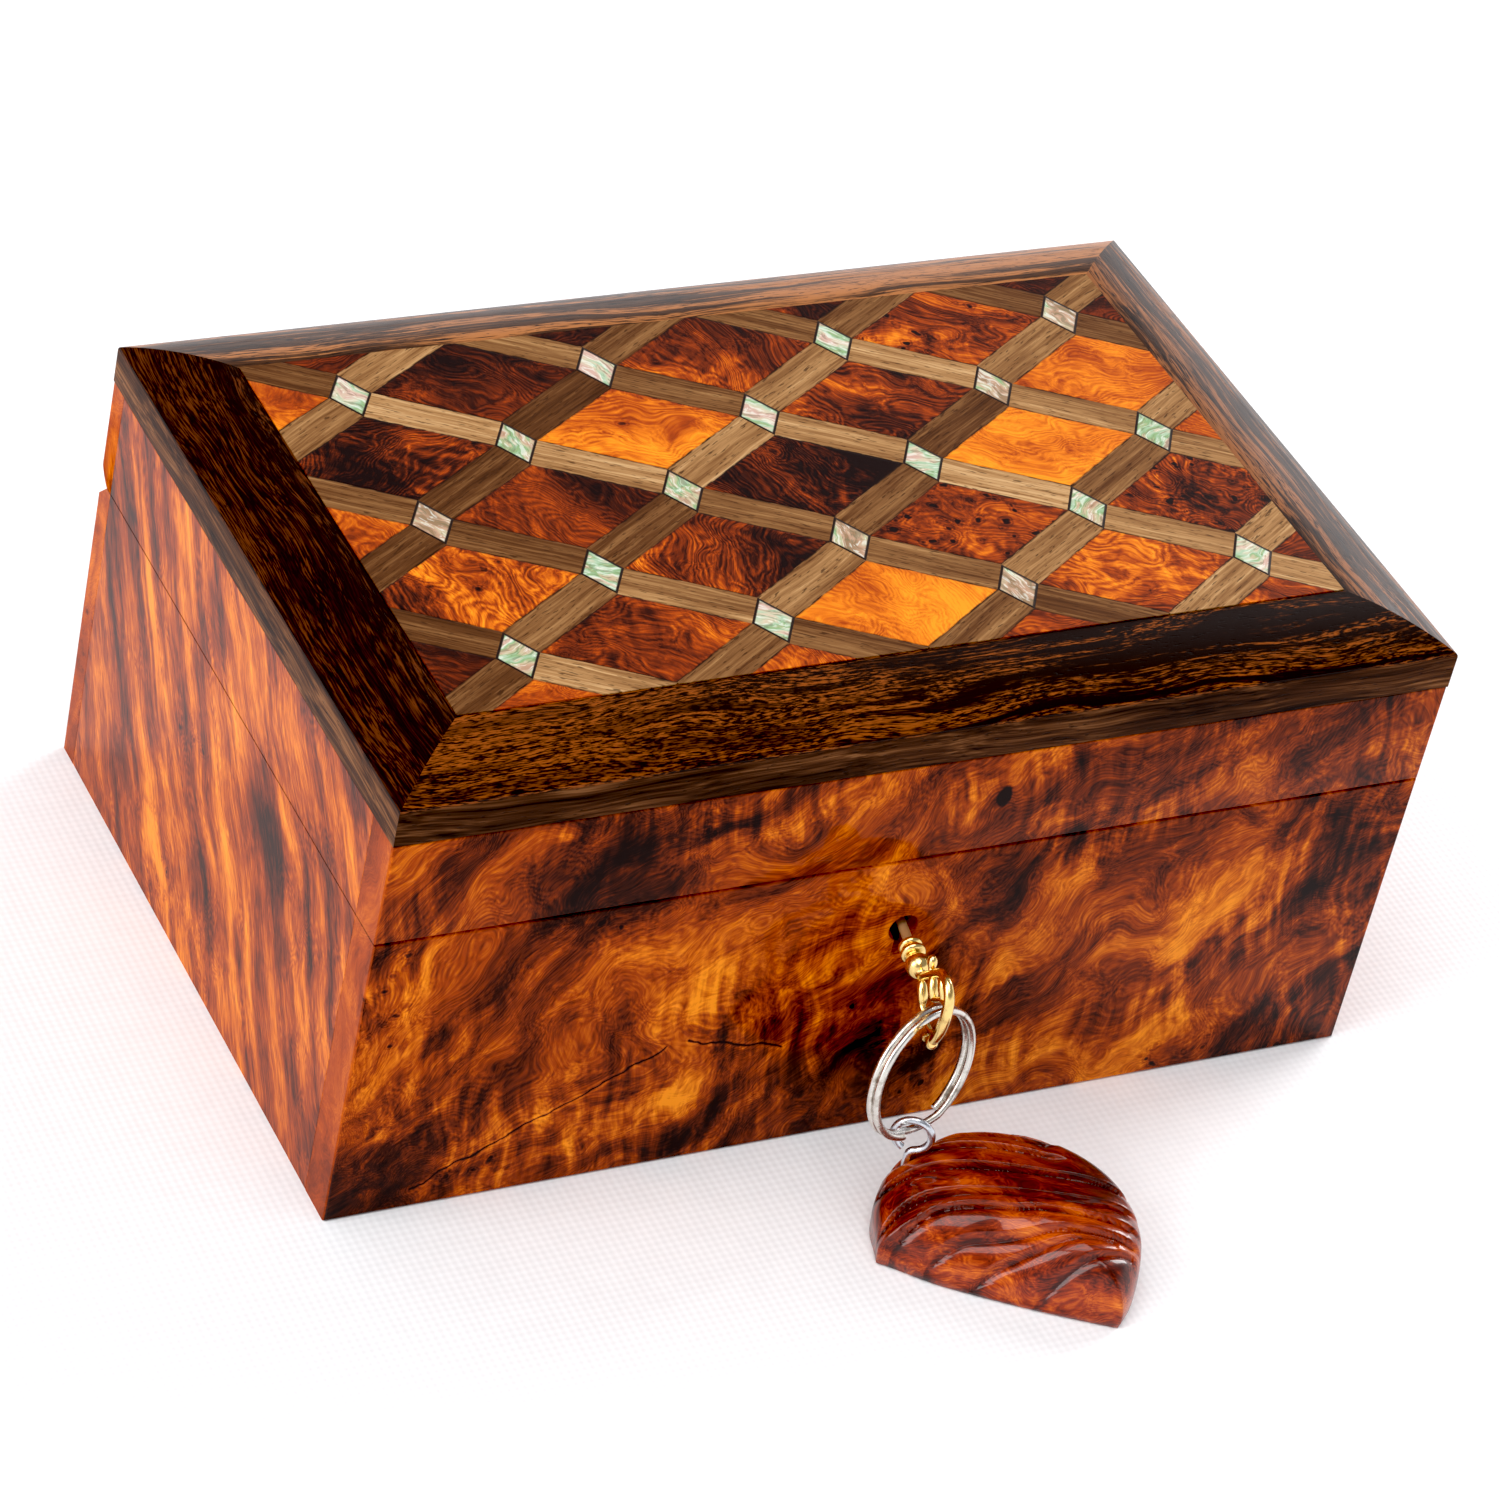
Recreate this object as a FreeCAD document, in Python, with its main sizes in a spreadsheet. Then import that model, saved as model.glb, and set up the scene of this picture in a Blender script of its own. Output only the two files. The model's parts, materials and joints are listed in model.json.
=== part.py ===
"""Inlaid wooden box with a hinged lid, a small brass lock, its key and a carved fob.

Frame: millimetres, origin at the centre of the base, +Z up, +X along the front to the right.
The front, with the keyhole, faces -Y. The document is built at rest: lid shut, bolt withdrawn,
key in the lock with its bit down, fob lying on the ground in front of the box.
"""
import FreeCAD, Part
import math
import os

import Sketcher
from FreeCAD import Placement, Rotation
from FreeCAD import Vector as V

SIZES = {
    # carcass
    "box_length": 200.0, "box_width": 129.0, "body_height": 61.0, "lid_wall_height": 20.8,
    "front_thickness": 8.2, "side_thickness": 9.0, "back_rebate": 3.0,
    "bottom_thickness": 5.0, "bottom_rebate": 4.0, "parting_gap": 0.1,
    # framed and inlaid lid top
    "frame_width": 15.8, "frame_edge_height": 7.0, "frame_crown": 4.7, "core_thickness": 7.0,
    "veneer_thickness": 1.5, "panel_proud": 0.2,
    "pearl_pitch": 46.9, "pearl_row_gap": 18.4, "pearl_half_x": 4.05, "pearl_half_y": 6.35,
    "pattern_shift_x": 2.2, "pattern_shift_y": 0.5,
    # hinges
    "hinge_inset": 2.8, "back_chamfer": 3.4, "knuckle_radius": 1.6, "knuckle_relief": 0.25,
    "pin_radius": 0.75, "pin_clearance": 0.05, "leaf_thickness": 0.9, "leaf_length": 25.0,
    "leaf_width": 4.6, "hinge_spacing": 130.0, "hinge_screw_radius": 0.7, "hinge_screw_length": 6.0,
    # lock
    "lock_height": 23.0, "lock_half_width": 15.0, "lock_depth": 4.8, "lock_flange": 4.0,
    "plate_thickness": 1.0, "lock_screw_radius": 0.9, "lock_screw_length": 4.6,
    "bolt_thickness": 2.0, "bolt_stroke": 5.0, "strike_width": 7.0, "strike_drop": 10.4,
    # key
    "key_drop": 15.4, "key_side": 0.3, "key_yaw": 9.0, "key_droop": 5.0, "key_radius": 0.8,
    "keyhole_radius": 2.8, "keyhole_slot": 2.5, "bit_reach": 5.2, "bit_thickness": 1.1,
    "bow_thickness": 1.6, "ring_seat": 17.5, "ring_drop": 2.8,
    # split ring, screw eye and fob
    "ring_radius": 12.0, "ring_wire": 0.7, "ring_play": 0.45, "ring_yaw": 20.4, "ring_lean": 7.8,
    "eye_radius": 3.3, "eye_wire": 0.7, "eye_yaw": 35.0, "eye_play": 0.5, "shank_foot": 3.0,
    "fob_length": 44.5, "fob_depth": 31.5, "fob_height": 14.5, "fob_turn": 35.6,
}
PEARL_ROWS = 5
PIECES = []

doc = FreeCAD.newDocument("InlaidBox")
sheet = doc.addObject("Spreadsheet::Sheet", "Sizes")
for row, (alias, value) in enumerate(SIZES.items(), start=1):
    sheet.set(f"A{row}", alias)
    sheet.set(f"B{row}", str(value))
    sheet.setAlias(f"B{row}", alias)
doc.recompute()


def size(alias):
    """The value of one driving dimension, read back from the sheet."""
    return float(sheet.get(alias))


def bound(formula):
    """A formula in sheet aliases, with each alias given its sheet name."""
    for alias in sorted(SIZES, key=len, reverse=True):
        formula = formula.replace(f"${alias}", f"Sizes.{alias}")
    return formula


# ------------------------------------------------------------------ plain solids bound to the sheet

def block(name, low, high):
    """A box between two corners, each a triple of formulas in sheet aliases."""
    obj = doc.addObject("Part::Box", name)
    for axis, prop, lo, hi in zip("xyz", ("Length", "Width", "Height"), low, high):
        obj.setExpression(prop, bound(f"({hi}) - ({lo})"))
        obj.setExpression(f"Placement.Base.{axis}", bound(lo))
    return obj


def rod(name, radius, length, base, direction=V(0, 0, 1)):
    """A cylinder from a base point given in formulas, along a fixed direction."""
    obj = doc.addObject("Part::Cylinder", name)
    obj.Placement = Placement(V(), Rotation(V(0, 0, 1), direction))
    obj.setExpression("Radius", bound(radius))
    obj.setExpression("Height", bound(length))
    for axis, formula in zip("xyz", base):
        obj.setExpression(f"Placement.Base.{axis}", bound(formula))
    return obj


def join(name, shapes):
    """One solid fused from several."""
    obj = doc.addObject("Part::MultiFuse", name)
    obj.Shapes = shapes
    obj.Refine = True
    return obj


def cut(name, base, *tools):
    """The base with every tool cut out of it."""
    tool = tools[0] if len(tools) == 1 else join(f"{name}_tools", list(tools))
    obj = doc.addObject("Part::Cut", name)
    obj.Base, obj.Tool = base, tool
    return obj


def feature(name, shape, placement=None):
    """A piece whose shape is worked out from the sheet by its own function."""
    obj = doc.addObject("Part::Feature", name)
    obj.Shape = shape
    if placement is not None:
        obj.Placement = placement
    return obj


def piece(node, obj):
    """Name an object as one separate piece of the box."""
    obj.Label = node
    PIECES.append(obj)
    return obj


# ------------------------------------------------------------------ sketched bodies

def origin_plane(body, role):
    """One of a body's own origin planes, found by its role."""
    return next(item for item in body.Origin.OriginFeatures if item.Role == role)


def outline_sketch(body, name, role, corners):
    """A closed sketch of straight sides whose corners are pairs of formulas.

    Args:
        corners: (across, up) formulas, in order round the outline.
    """
    sketch = body.newObject("Sketcher::SketchObject", name)
    sketch.AttachmentSupport = [(origin_plane(body, role), "")]
    sketch.MapMode = "FlatFace"
    holder = doc.addObject("Spreadsheet::Sheet", f"{name}_scratch")
    points = []
    for index, (across, up) in enumerate(corners, start=1):
        holder.set(f"A{index}", "=" + bound(across).replace("Sizes.", "<<Sizes>>."))
        holder.set(f"B{index}", "=" + bound(up).replace("Sizes.", "<<Sizes>>."))
    doc.recompute()
    for index in range(1, len(corners) + 1):
        points.append(V(float(holder.get(f"A{index}")), float(holder.get(f"B{index}")), 0))
    doc.removeObject(holder.Name)
    count = len(points)
    for index in range(count):
        sketch.addGeometry(Part.LineSegment(points[index], points[(index + 1) % count]), False)
    for index in range(count):
        sketch.addConstraint(Sketcher.Constraint("Coincident", index, 2, (index + 1) % count, 1))
    for index, (across, up) in enumerate(corners):
        for kind, formula, value in (("DistanceX", across, points[index].x), ("DistanceY", up, points[index].y)):
            number = sketch.addConstraint(Sketcher.Constraint(kind, -1, 1, index, 1, value))
            sketch.setExpression(f"Constraints[{number}]", bound(formula))
    return sketch


def pad(body, sketch, length, midplane=False, reverse=False):
    """Raise a sketch into the body by a length in sheet aliases."""
    raised = body.newObject("PartDesign::Pad", f"{sketch.Name}_pad")
    raised.Profile = sketch
    raised.setExpression("Length", bound(length))
    raised.Midplane = midplane
    raised.Reversed = reverse
    return raised


def pocket(body, sketch, midplane=True):
    """Cut a sketch right through the body and check that it took something away."""
    doc.recompute()
    before = body.Shape.Volume
    sunk = body.newObject("PartDesign::Pocket", f"{sketch.Name}_pocket")
    sunk.Profile = sketch
    sunk.Type = "ThroughAll"
    sunk.Midplane = midplane
    doc.recompute()
    if body.Shape.Volume > before - 1e-3:
        raise RuntimeError(f"{sketch.Name} cuts nothing")
    return sunk


# ------------------------------------------------------------------ places worked out once

HALF_LENGTH, HALF_WIDTH = size("box_length") / 2, size("box_width") / 2
RIM = size("body_height")
LID_FOOT = RIM + size("parting_gap")
LID_TOP = LID_FOOT + size("lid_wall_height")
HINGE_Y = HALF_WIDTH - size("hinge_inset")
FRONT_INSIDE = size("front_thickness") - HALF_WIDTH

KEY_ORIGIN = V(size("key_side"), -HALF_WIDTH, RIM - size("key_drop"))
yaw, droop = math.radians(size("key_yaw")), math.radians(size("key_droop"))
KEY_AXIS = V(-math.sin(yaw) * math.cos(droop), -math.cos(yaw) * math.cos(droop), -math.sin(droop))
KEY_UP = (V(0, 0, 1) - KEY_AXIS * KEY_AXIS.z).normalize()
KEY_SIDE = KEY_UP.cross(KEY_AXIS)


def frame_at(origin, x_axis, y_axis, z_axis):
    """The placement whose local axes point along the three given directions."""
    matrix = FreeCAD.Matrix(x_axis.x, y_axis.x, z_axis.x, origin.x,
                            x_axis.y, y_axis.y, z_axis.y, origin.y,
                            x_axis.z, y_axis.z, z_axis.z, origin.z)
    return Placement(matrix)


# local x runs out of the keyhole along the key, y up, z to the box's left
KEY_FRAME = frame_at(KEY_ORIGIN, KEY_AXIS, KEY_UP, KEY_AXIS.cross(KEY_UP))
KEY_AT_LOCK = KEY_ORIGIN - KEY_AXIS * 5.6


# ------------------------------------------------------------------ carcass and lid walls

def wall_ring(prefix, low, high, corner_cut, front_cuts=()):
    """Four walls between two heights; the long boards lap the ends of the side boards."""
    half_x, half_y = "$box_length / 2", "$box_width / 2"
    front = block(f"{prefix}_front_board", (f"-{half_x}", f"-{half_y}", low),
                  (half_x, f"-{half_y} + $front_thickness", high))
    back = block(f"{prefix}_back_board", (f"-{half_x}", f"{half_y} - $front_thickness", low), (half_x, half_y, high))
    rebates = []
    for side, (x_low, x_high) in {"left": (f"-{half_x} - 1", f"-{half_x} + $side_thickness"),
                                  "right": (f"{half_x} - $side_thickness", f"{half_x} + 1")}.items():
        rebates.append(block(f"{prefix}_{side}_rebate",
                             (x_low, f"{half_y} - $front_thickness - 1", f"{low} - 1"),
                             (x_high, f"{half_y} - $front_thickness + $back_rebate", f"{high} + 1")))
    front_wall = cut(f"{prefix}_front", front, *front_cuts) if front_cuts else front
    back_wall = cut(f"{prefix}_back", back, *rebates, *corner_cut)
    sides = {}
    for side, (x_low, x_high) in {"left": (f"-{half_x}", f"-{half_x} + $side_thickness"),
                                  "right": (f"{half_x} - $side_thickness", half_x)}.items():
        board = block(f"{prefix}_{side}_board", (x_low, f"-{half_y} + $front_thickness", low),
                      (x_high, f"{half_y} - $front_thickness + $back_rebate", high))
        sides[side] = board
    return front_wall, back_wall, sides["left"], sides["right"]


def hinge_centres():
    """The middle of each of the two hinges along X."""
    return {"left": -size("hinge_spacing") / 2, "right": size("hinge_spacing") / 2}


def back_corner_chamfer():
    """The sloping cut along the top back edge of the body, which stops the open lid."""
    depth = size("back_chamfer")
    points = [V(0, HALF_WIDTH - depth, RIM), V(0, HALF_WIDTH + 1, RIM - depth - 1),
              V(0, HALF_WIDTH + 1, RIM + 1), V(0, HALF_WIDTH - depth, RIM + 1)]
    face = Part.Face(Part.makePolygon(points + points[:1]))
    return face.translated(V(-HALF_LENGTH - 1, 0, 0)).extrude(V(2 * HALF_LENGTH + 2, 0, 0))


def back_corner_round():
    """The rounded cut along the lower back edge of the lid, which rolls over the body's slope."""
    depth, foot = size("back_chamfer"), size("body_height")
    start, over, end = (V(0, HALF_WIDTH - depth, foot), V(0, HALF_WIDTH - 0.35 * depth, foot + 0.57 * depth),
                        V(0, HALF_WIDTH, foot + 1.15 * depth))
    edges = [Part.Arc(start, over, end).toShape(), Part.makeLine(end, V(0, HALF_WIDTH + 1, end.z)),
             Part.makeLine(V(0, HALF_WIDTH + 1, end.z), V(0, HALF_WIDTH + 1, foot - 1)),
             Part.makeLine(V(0, HALF_WIDTH + 1, foot - 1), V(0, start.y, foot - 1)),
             Part.makeLine(V(0, start.y, foot - 1), start)]
    face = Part.Face(Part.Wire(edges))
    return face.translated(V(-HALF_LENGTH - 1, 0, 0)).extrude(V(2 * HALF_LENGTH + 2, 0, 0))


def hinge_seats(tag, low, high):
    """Cuts in a wall edge for the two hinges: a flush seat for each leaf and a groove round its knuckle."""
    seats = []
    for side, centre in hinge_centres().items():
        middle = "-$hinge_spacing / 2" if centre < 0 else "$hinge_spacing / 2"
        half = f"{middle} - $leaf_length / 2", f"{middle} + $leaf_length / 2"
        seats.append(block(f"{tag}_{side}_seat", (half[0], "$box_width / 2 - $hinge_inset - $leaf_width", low),
                           (half[1], "$box_width / 2 - $hinge_inset", high)))
        seats.append(rod(f"{tag}_{side}_groove", "$knuckle_radius + $knuckle_relief", "$leaf_length",
                         (half[0], "$box_width / 2 - $hinge_inset", "$body_height"), V(1, 0, 0)))
    return seats


def screw_shape(radius, length):
    """A countersunk screw pointing down, its flat head at the origin."""
    profile = [V(0, 0, 0), V(1.9 * radius, 0, 0), V(1.9 * radius, 0, -0.15), V(radius, 0, -0.9 * radius - 0.15),
               V(radius, 0, -length + radius), V(0, 0, -length)]
    return Part.Face(Part.makePolygon(profile + profile[:1])).revolve(V(), V(0, 0, 1), 360)


def screws_at(places, direction, radius, length):
    """Screws with their heads at the places, driven along a direction."""
    turn = Rotation(V(0, 0, -1), direction)
    shapes = []
    for place in places:
        shape = screw_shape(radius, length)
        shape.Placement = Placement(place, turn)
        shapes.append(shape)
    return shapes


def hinge_screw_places(height):
    """Two screws in each leaf, on the leaf's centre line."""
    line = HINGE_Y - size("knuckle_radius") - (size("leaf_width") - size("knuckle_radius")) / 2
    reach = size("leaf_length") * 0.34
    return [V(centre + step, line, height) for centre in hinge_centres().values() for step in (-reach, reach)]


BODY_SCREWS = screws_at(hinge_screw_places(RIM), V(0, 0, -1), size("hinge_screw_radius"), size("hinge_screw_length"))
LID_SCREWS = screws_at(hinge_screw_places(LID_FOOT), V(0, 0, 1), size("hinge_screw_radius"),
                       size("hinge_screw_length"))

# lock heights, measured down from the rim of the body
LOCK_TOP = RIM
LOCK_FOOT = RIM - size("lock_height")
lock_screw_x = size("lock_half_width") + size("lock_flange") / 2
LOCK_SCREW_PLACES = [V(side * lock_screw_x, FRONT_INSIDE, height)
                     for side in (-1, 1) for height in (LOCK_FOOT + 4, LOCK_TOP - 5)]
LOCK_SCREWS = screws_at(LOCK_SCREW_PLACES, V(0, -1, 0), size("lock_screw_radius"), size("lock_screw_length"))


def keyhole_shape():
    """The round hole with a slot below it, bored along the key through the wood and the lock's cap."""
    far, near = 2.0, -size("lock_depth") - 4.0
    radius, slot = size("keyhole_radius"), size("keyhole_slot")
    bore = Part.makeCylinder(radius, far - near, V(near, 0, 0), V(1, 0, 0))
    slot_box = Part.makeBox(far - near, size("bit_reach") + 0.7, slot, V(near, -size("bit_reach") - 0.7, -slot / 2))
    shape = bore.fuse(slot_box)
    shape.Placement = KEY_FRAME
    return shape


def body_walls():
    """The four walls of the box body, with the lock, keyhole, hinge and bottom cuts."""
    keyhole = feature("keyhole_bore", keyhole_shape())
    half_y = "$box_width / 2"
    lock_low = (f"-{half_y} + $front_thickness - $lock_depth", "$body_height - $lock_height")
    recess = block("lock_recess", ("-$lock_half_width", lock_low[0], lock_low[1]),
                   ("$lock_half_width", f"-{half_y} + $front_thickness + 1", "$body_height + 1"))
    flange = block("lock_flange_recess",
                   ("-$lock_half_width - $lock_flange", f"-{half_y} + $front_thickness - $plate_thickness",
                    lock_low[1]),
                   ("$lock_half_width + $lock_flange", f"-{half_y} + $front_thickness + 1", "$body_height + 1"))
    selvedge = block("selvedge_recess",
                     ("-$lock_half_width - $lock_flange", lock_low[0], "$body_height - $plate_thickness"),
                     ("$lock_half_width + $lock_flange", f"-{half_y} + $front_thickness + 1", "$body_height + 1"))
    pilots = feature("lock_pilots", Part.makeCompound(LOCK_SCREWS))
    step = block("bottom_seat",
                 ("-$box_length / 2 + $side_thickness - $bottom_rebate",
                  f"-{half_y} + $front_thickness - $bottom_rebate", "-1"),
                 ("$box_length / 2 - $side_thickness + $bottom_rebate",
                  f"{half_y} - $front_thickness + $bottom_rebate", "$bottom_thickness"))
    chamfer = feature("back_slope", back_corner_chamfer())
    seats = hinge_seats("body", "$body_height - $leaf_thickness", "$body_height + 1")
    screws = feature("body_hinge_pilots", Part.makeCompound(BODY_SCREWS))
    front, back, left, right = wall_ring("body", "0", "$body_height", [step, chamfer, *seats, screws],
                                         [keyhole, recess, flange, selvedge, pilots, step])
    piece("front_wall", front)
    piece("back_wall", back)
    piece("left_wall", cut("left_wall_cut", left, step))
    piece("right_wall", cut("right_wall_cut", right, step))
    piece("bottom_panel", block("bottom_board",
                                ("-$box_length / 2 + $side_thickness - $bottom_rebate",
                                 f"-{half_y} + $front_thickness - $bottom_rebate", "0"),
                                ("$box_length / 2 - $side_thickness + $bottom_rebate",
                                 f"{half_y} - $front_thickness + $bottom_rebate", "$bottom_thickness")))


def lid_walls():
    """The four walls of the lid, sawn from the same boards as the body."""
    low, high = "$body_height + $parting_gap", "$body_height + $parting_gap + $lid_wall_height"
    rounded = feature("lid_back_round", back_corner_round())
    seats = hinge_seats("lid", "$body_height", "$body_height + $parting_gap + $leaf_thickness")
    screws = feature("lid_hinge_pilots", Part.makeCompound(LID_SCREWS))
    strike_seat = block("strike_seat", ("-2", "-$box_width / 2 + $front_thickness - $lock_depth", f"{low} - 1"),
                        ("21", "-$box_width / 2 + $front_thickness", f"{low} + $plate_thickness"))
    strike_pilots = feature("strike_pilots", Part.makeCompound(strike_screws()))
    front, back, left, right = wall_ring("lid", low, high, [rounded, *seats, screws], [strike_seat, strike_pilots])
    for node, wall in (("lid_front_wall", front), ("lid_back_wall", back),
                       ("lid_left_wall", left), ("lid_right_wall", right)):
        piece(node, wall)


# ------------------------------------------------------------------ framed lid top

def mitred_rail(node, length, turn, offset):
    """A rail with mitred ends and a crowned top face, drawn as the front rail and turned into place.

    Args:
        length: formula of the outer edge's length.
        turn: degrees about Z from the front rail's place.
        offset: formula of the distance from the box's centre to the outer edge.
    """
    body = doc.addObject("PartDesign::Body", f"{node}_body")
    plan = outline_sketch(body, f"{node}_plan", "XY_Plane",
                          [(f"-({length}) / 2", "0"), (f"({length}) / 2", "0"),
                           (f"({length}) / 2 - $frame_width", "$frame_width"),
                           (f"-({length}) / 2 + $frame_width", "$frame_width")])
    pad(body, plan, "$frame_edge_height + $frame_crown")
    corners = [("-1", "$frame_edge_height"), ("0", "$frame_edge_height"),
               ("$frame_width * 0.15", "$frame_edge_height + $frame_crown * 0.3"),
               ("$frame_width * 0.35", "$frame_edge_height + $frame_crown * 0.6"),
               ("$frame_width * 0.6", "$frame_edge_height + $frame_crown * 0.83"),
               ("$frame_width", "$frame_edge_height + $frame_crown"),
               ("-1", "$frame_edge_height + $frame_crown")]
    crown = outline_sketch(body, f"{node}_crown", "YZ_Plane", corners)
    pocket(body, crown)
    spin = math.radians(turn)
    body.Placement = Placement(V(), Rotation(V(0, 0, 1), turn))
    body.setExpression("Placement.Base.x", bound(f"{math.sin(spin):.6f} * ({offset})"))
    body.setExpression("Placement.Base.y", bound(f"{-math.cos(spin):.6f} * ({offset})"))
    body.setExpression("Placement.Base.z", bound("$body_height + $parting_gap + $lid_wall_height"))
    return piece(node, body)


def clip_to_panel(points, half_x, half_y):
    """Clip a convex outline to the rectangle of the panel, side by side."""
    for axis, limit, sign in ((0, half_x, 1), (0, half_x, -1), (1, half_y, 1), (1, half_y, -1)):
        kept = []
        for index, point in enumerate(points):
            other = points[(index + 1) % len(points)]
            here, there = limit - sign * point[axis], limit - sign * other[axis]
            if here >= 0:
                kept.append(point)
            if here * there < 0:
                share = here / (here - there)
                kept.append((point[0] + share * (other[0] - point[0]), point[1] + share * (other[1] - point[1])))
        points = kept
        if not points:
            return []
    return points


def outline_area(points):
    """The area inside an outline."""
    return abs(sum(a[0] * b[1] - b[0] * a[1] for a, b in zip(points, points[1:] + points[:1]))) / 2


def tile(node, outlines):
    """Inlay pieces of one sort, cut to the panel and set level with each other."""
    half_x, half_y = HALF_LENGTH - size("frame_width"), HALF_WIDTH - size("frame_width")
    foot = LID_TOP + size("frame_edge_height") + size("frame_crown") + size("panel_proud") - size("veneer_thickness")
    solids = []
    for outline in outlines:
        clipped = clip_to_panel(outline, half_x, half_y)
        if len(clipped) < 3 or outline_area(clipped) < 0.5:
            continue
        loop = [V(x, y, foot) for x, y in clipped]
        solids.append(Part.Face(Part.makePolygon(loop + loop[:1])).extrude(V(0, 0, size("veneer_thickness"))))
    piece(node, feature(f"{node}_inlay", Part.makeCompound(solids)))


def lozenge(x, y, half_x, half_y):
    """The four corners of an upright rhombus."""
    return [(x + half_x, y), (x, y + half_y), (x - half_x, y), (x, y - half_y)]


def row_height(row):
    """The centre line of one row of pearls, counted from the back."""
    return size("pattern_shift_y") + size("pearl_row_gap") * ((PEARL_ROWS - 1) / 2 - row)


def row_columns(row):
    """The pearls of one row, with spare ones past the panel's edges; rows step by half a pitch."""
    shift = 0.5 if row % 2 == 0 else 0.0
    return [size("pattern_shift_x") + size("pearl_pitch") * (column + shift) for column in range(-3, 4)]


def marquetry():
    """Mother-of-pearl rhombi joined by slanting walnut strips, with burl in the cells between."""
    pitch, gap = size("pearl_pitch"), size("pearl_row_gap")
    half_x, half_y = size("pearl_half_x"), size("pearl_half_y")
    cell_x, cell_y = pitch / 2 - half_x, gap - half_y
    for row in range(-1, PEARL_ROWS + 1):
        y = row_height(row)
        label = {-1: "back", PEARL_ROWS: "front"}.get(row, f"row_{row + 1}")
        if 0 <= row < PEARL_ROWS:
            tile(f"pearl_{label}", [lozenge(x, y, half_x, half_y) for x in row_columns(row)])
        tile(f"burl_{label}", [lozenge(x + pitch / 2, y, cell_x, cell_y) for x in row_columns(row)])
        if row == PEARL_ROWS:
            continue
        strips = []
        for x in row_columns(row):
            for side in (-1, 1):
                strips.append([(x + side * half_x, y), (x + side * (pitch / 2), y - gap + half_y),
                               (x + side * (pitch / 2 - half_x), y - gap), (x, y - half_y)])
        strip_label = {-1: "back", PEARL_ROWS - 1: "front"}.get(row, f"band_{row + 1}")
        tile(f"strips_{strip_label}", strips)


def lid_top():
    """The mitred frame, the core board it holds and the marquetry laid on the core."""
    mitred_rail("frame_front_rail", "$box_length", 0, "$box_width / 2")
    mitred_rail("frame_right_rail", "$box_width", 90, "$box_length / 2")
    mitred_rail("frame_back_rail", "$box_length", 180, "$box_width / 2")
    mitred_rail("frame_left_rail", "$box_width", 270, "$box_length / 2")
    top = ("$body_height + $parting_gap + $lid_wall_height + $frame_edge_height + $frame_crown"
           " + $panel_proud - $veneer_thickness")
    piece("lid_core_board", block("core_board", ("-$box_length / 2 + $frame_width", "-$box_width / 2 + $frame_width",
                                                 f"{top} - $core_thickness"),
                                  ("$box_length / 2 - $frame_width", "$box_width / 2 - $frame_width", top)))
    marquetry()


# ------------------------------------------------------------------ hinges

def hinge_leaf(side, tag):
    """One leaf with its knuckles; the body's has the outer two, the lid's the middle one."""
    centre = "$hinge_spacing / 2" if side == "right" else "-$hinge_spacing / 2"
    on_body = tag == "body"
    low, high = (("$body_height - $leaf_thickness", "$body_height") if on_body else
                 ("$body_height + $parting_gap", "$body_height + $parting_gap + $leaf_thickness"))
    base = f"{tag}_{side}"
    plate = block(f"{base}_plate", (f"{centre} - $leaf_length / 2", "$box_width / 2 - $hinge_inset - $leaf_width",
                                    low),
                  (f"{centre} + $leaf_length / 2", "$box_width / 2 - $hinge_inset", high))
    slot_low = "$box_width / 2 - $hinge_inset - $knuckle_radius - $knuckle_relief"
    slots, knuckles = [], []
    spans = {"outer_left": ("-0.5", "-0.17"), "middle": ("-0.17", "0.17"), "outer_right": ("0.17", "0.5")}
    for name, (start, end) in spans.items():
        carries = (name == "middle") != on_body
        trim = 0.0 if carries else 0.05
        x_low, x_high = f"{centre} + $leaf_length * {start}", f"{centre} + $leaf_length * {end}"
        if carries:
            knuckles.append(rod(f"{base}_{name}_knuckle", "$knuckle_radius", f"$leaf_length * ({end} - ({start})) - 0.1",
                                (f"{x_low} + 0.05", "$box_width / 2 - $hinge_inset", "$body_height"), V(1, 0, 0)))
        else:
            slots.append(block(f"{base}_{name}_slot", (f"{x_low} - {trim} - 0.05", slot_low, "$body_height - 3"),
                               (f"{x_high} + {trim} + 0.05", "$box_width / 2", "$body_height + 3")))
    bore_radius = "$pin_radius" if on_body else "$pin_radius + $pin_clearance"
    bore = rod(f"{base}_bore", bore_radius, "$leaf_length + 4",
               (f"{centre} - $leaf_length / 2 - 2", "$box_width / 2 - $hinge_inset", "$body_height"), V(1, 0, 0))
    screws = feature(f"{base}_countersinks", Part.makeCompound(BODY_SCREWS if on_body else LID_SCREWS))
    notched = cut(f"{base}_notched", plate, *slots)
    leaf = cut(f"{base}_leaf", join(f"{base}_rolled", [notched, *knuckles]), bore, screws)
    return piece(f"{tag}_hinge_leaf_{side}", leaf)


def hinges():
    """Two small butt hinges let into the edges of the back walls."""
    for side in hinge_centres():
        hinge_leaf(side, "body")
        hinge_leaf(side, "lid")
        centre = "$hinge_spacing / 2" if side == "right" else "-$hinge_spacing / 2"
        piece(f"hinge_pin_{side}", rod(f"pin_{side}", "$pin_radius", "$leaf_length",
                                       (f"{centre} - $leaf_length / 2", "$box_width / 2 - $hinge_inset",
                                        "$body_height"), V(1, 0, 0)))
    piece("body_hinge_screws", feature("body_hinge_screw_set", Part.makeCompound(BODY_SCREWS)))
    piece("lid_hinge_screws", feature("lid_hinge_screw_set", Part.makeCompound(LID_SCREWS)))


# ------------------------------------------------------------------ lock

BOLT_BACK = FRONT_INSIDE - size("plate_thickness") - 0.4
BOLT_FRONT = BOLT_BACK - size("bolt_thickness")
STRIKE_LEFT = 6.0
BOLT_LOW, BOLT_HIGH = RIM - 8.2, RIM - 4.4


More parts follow.
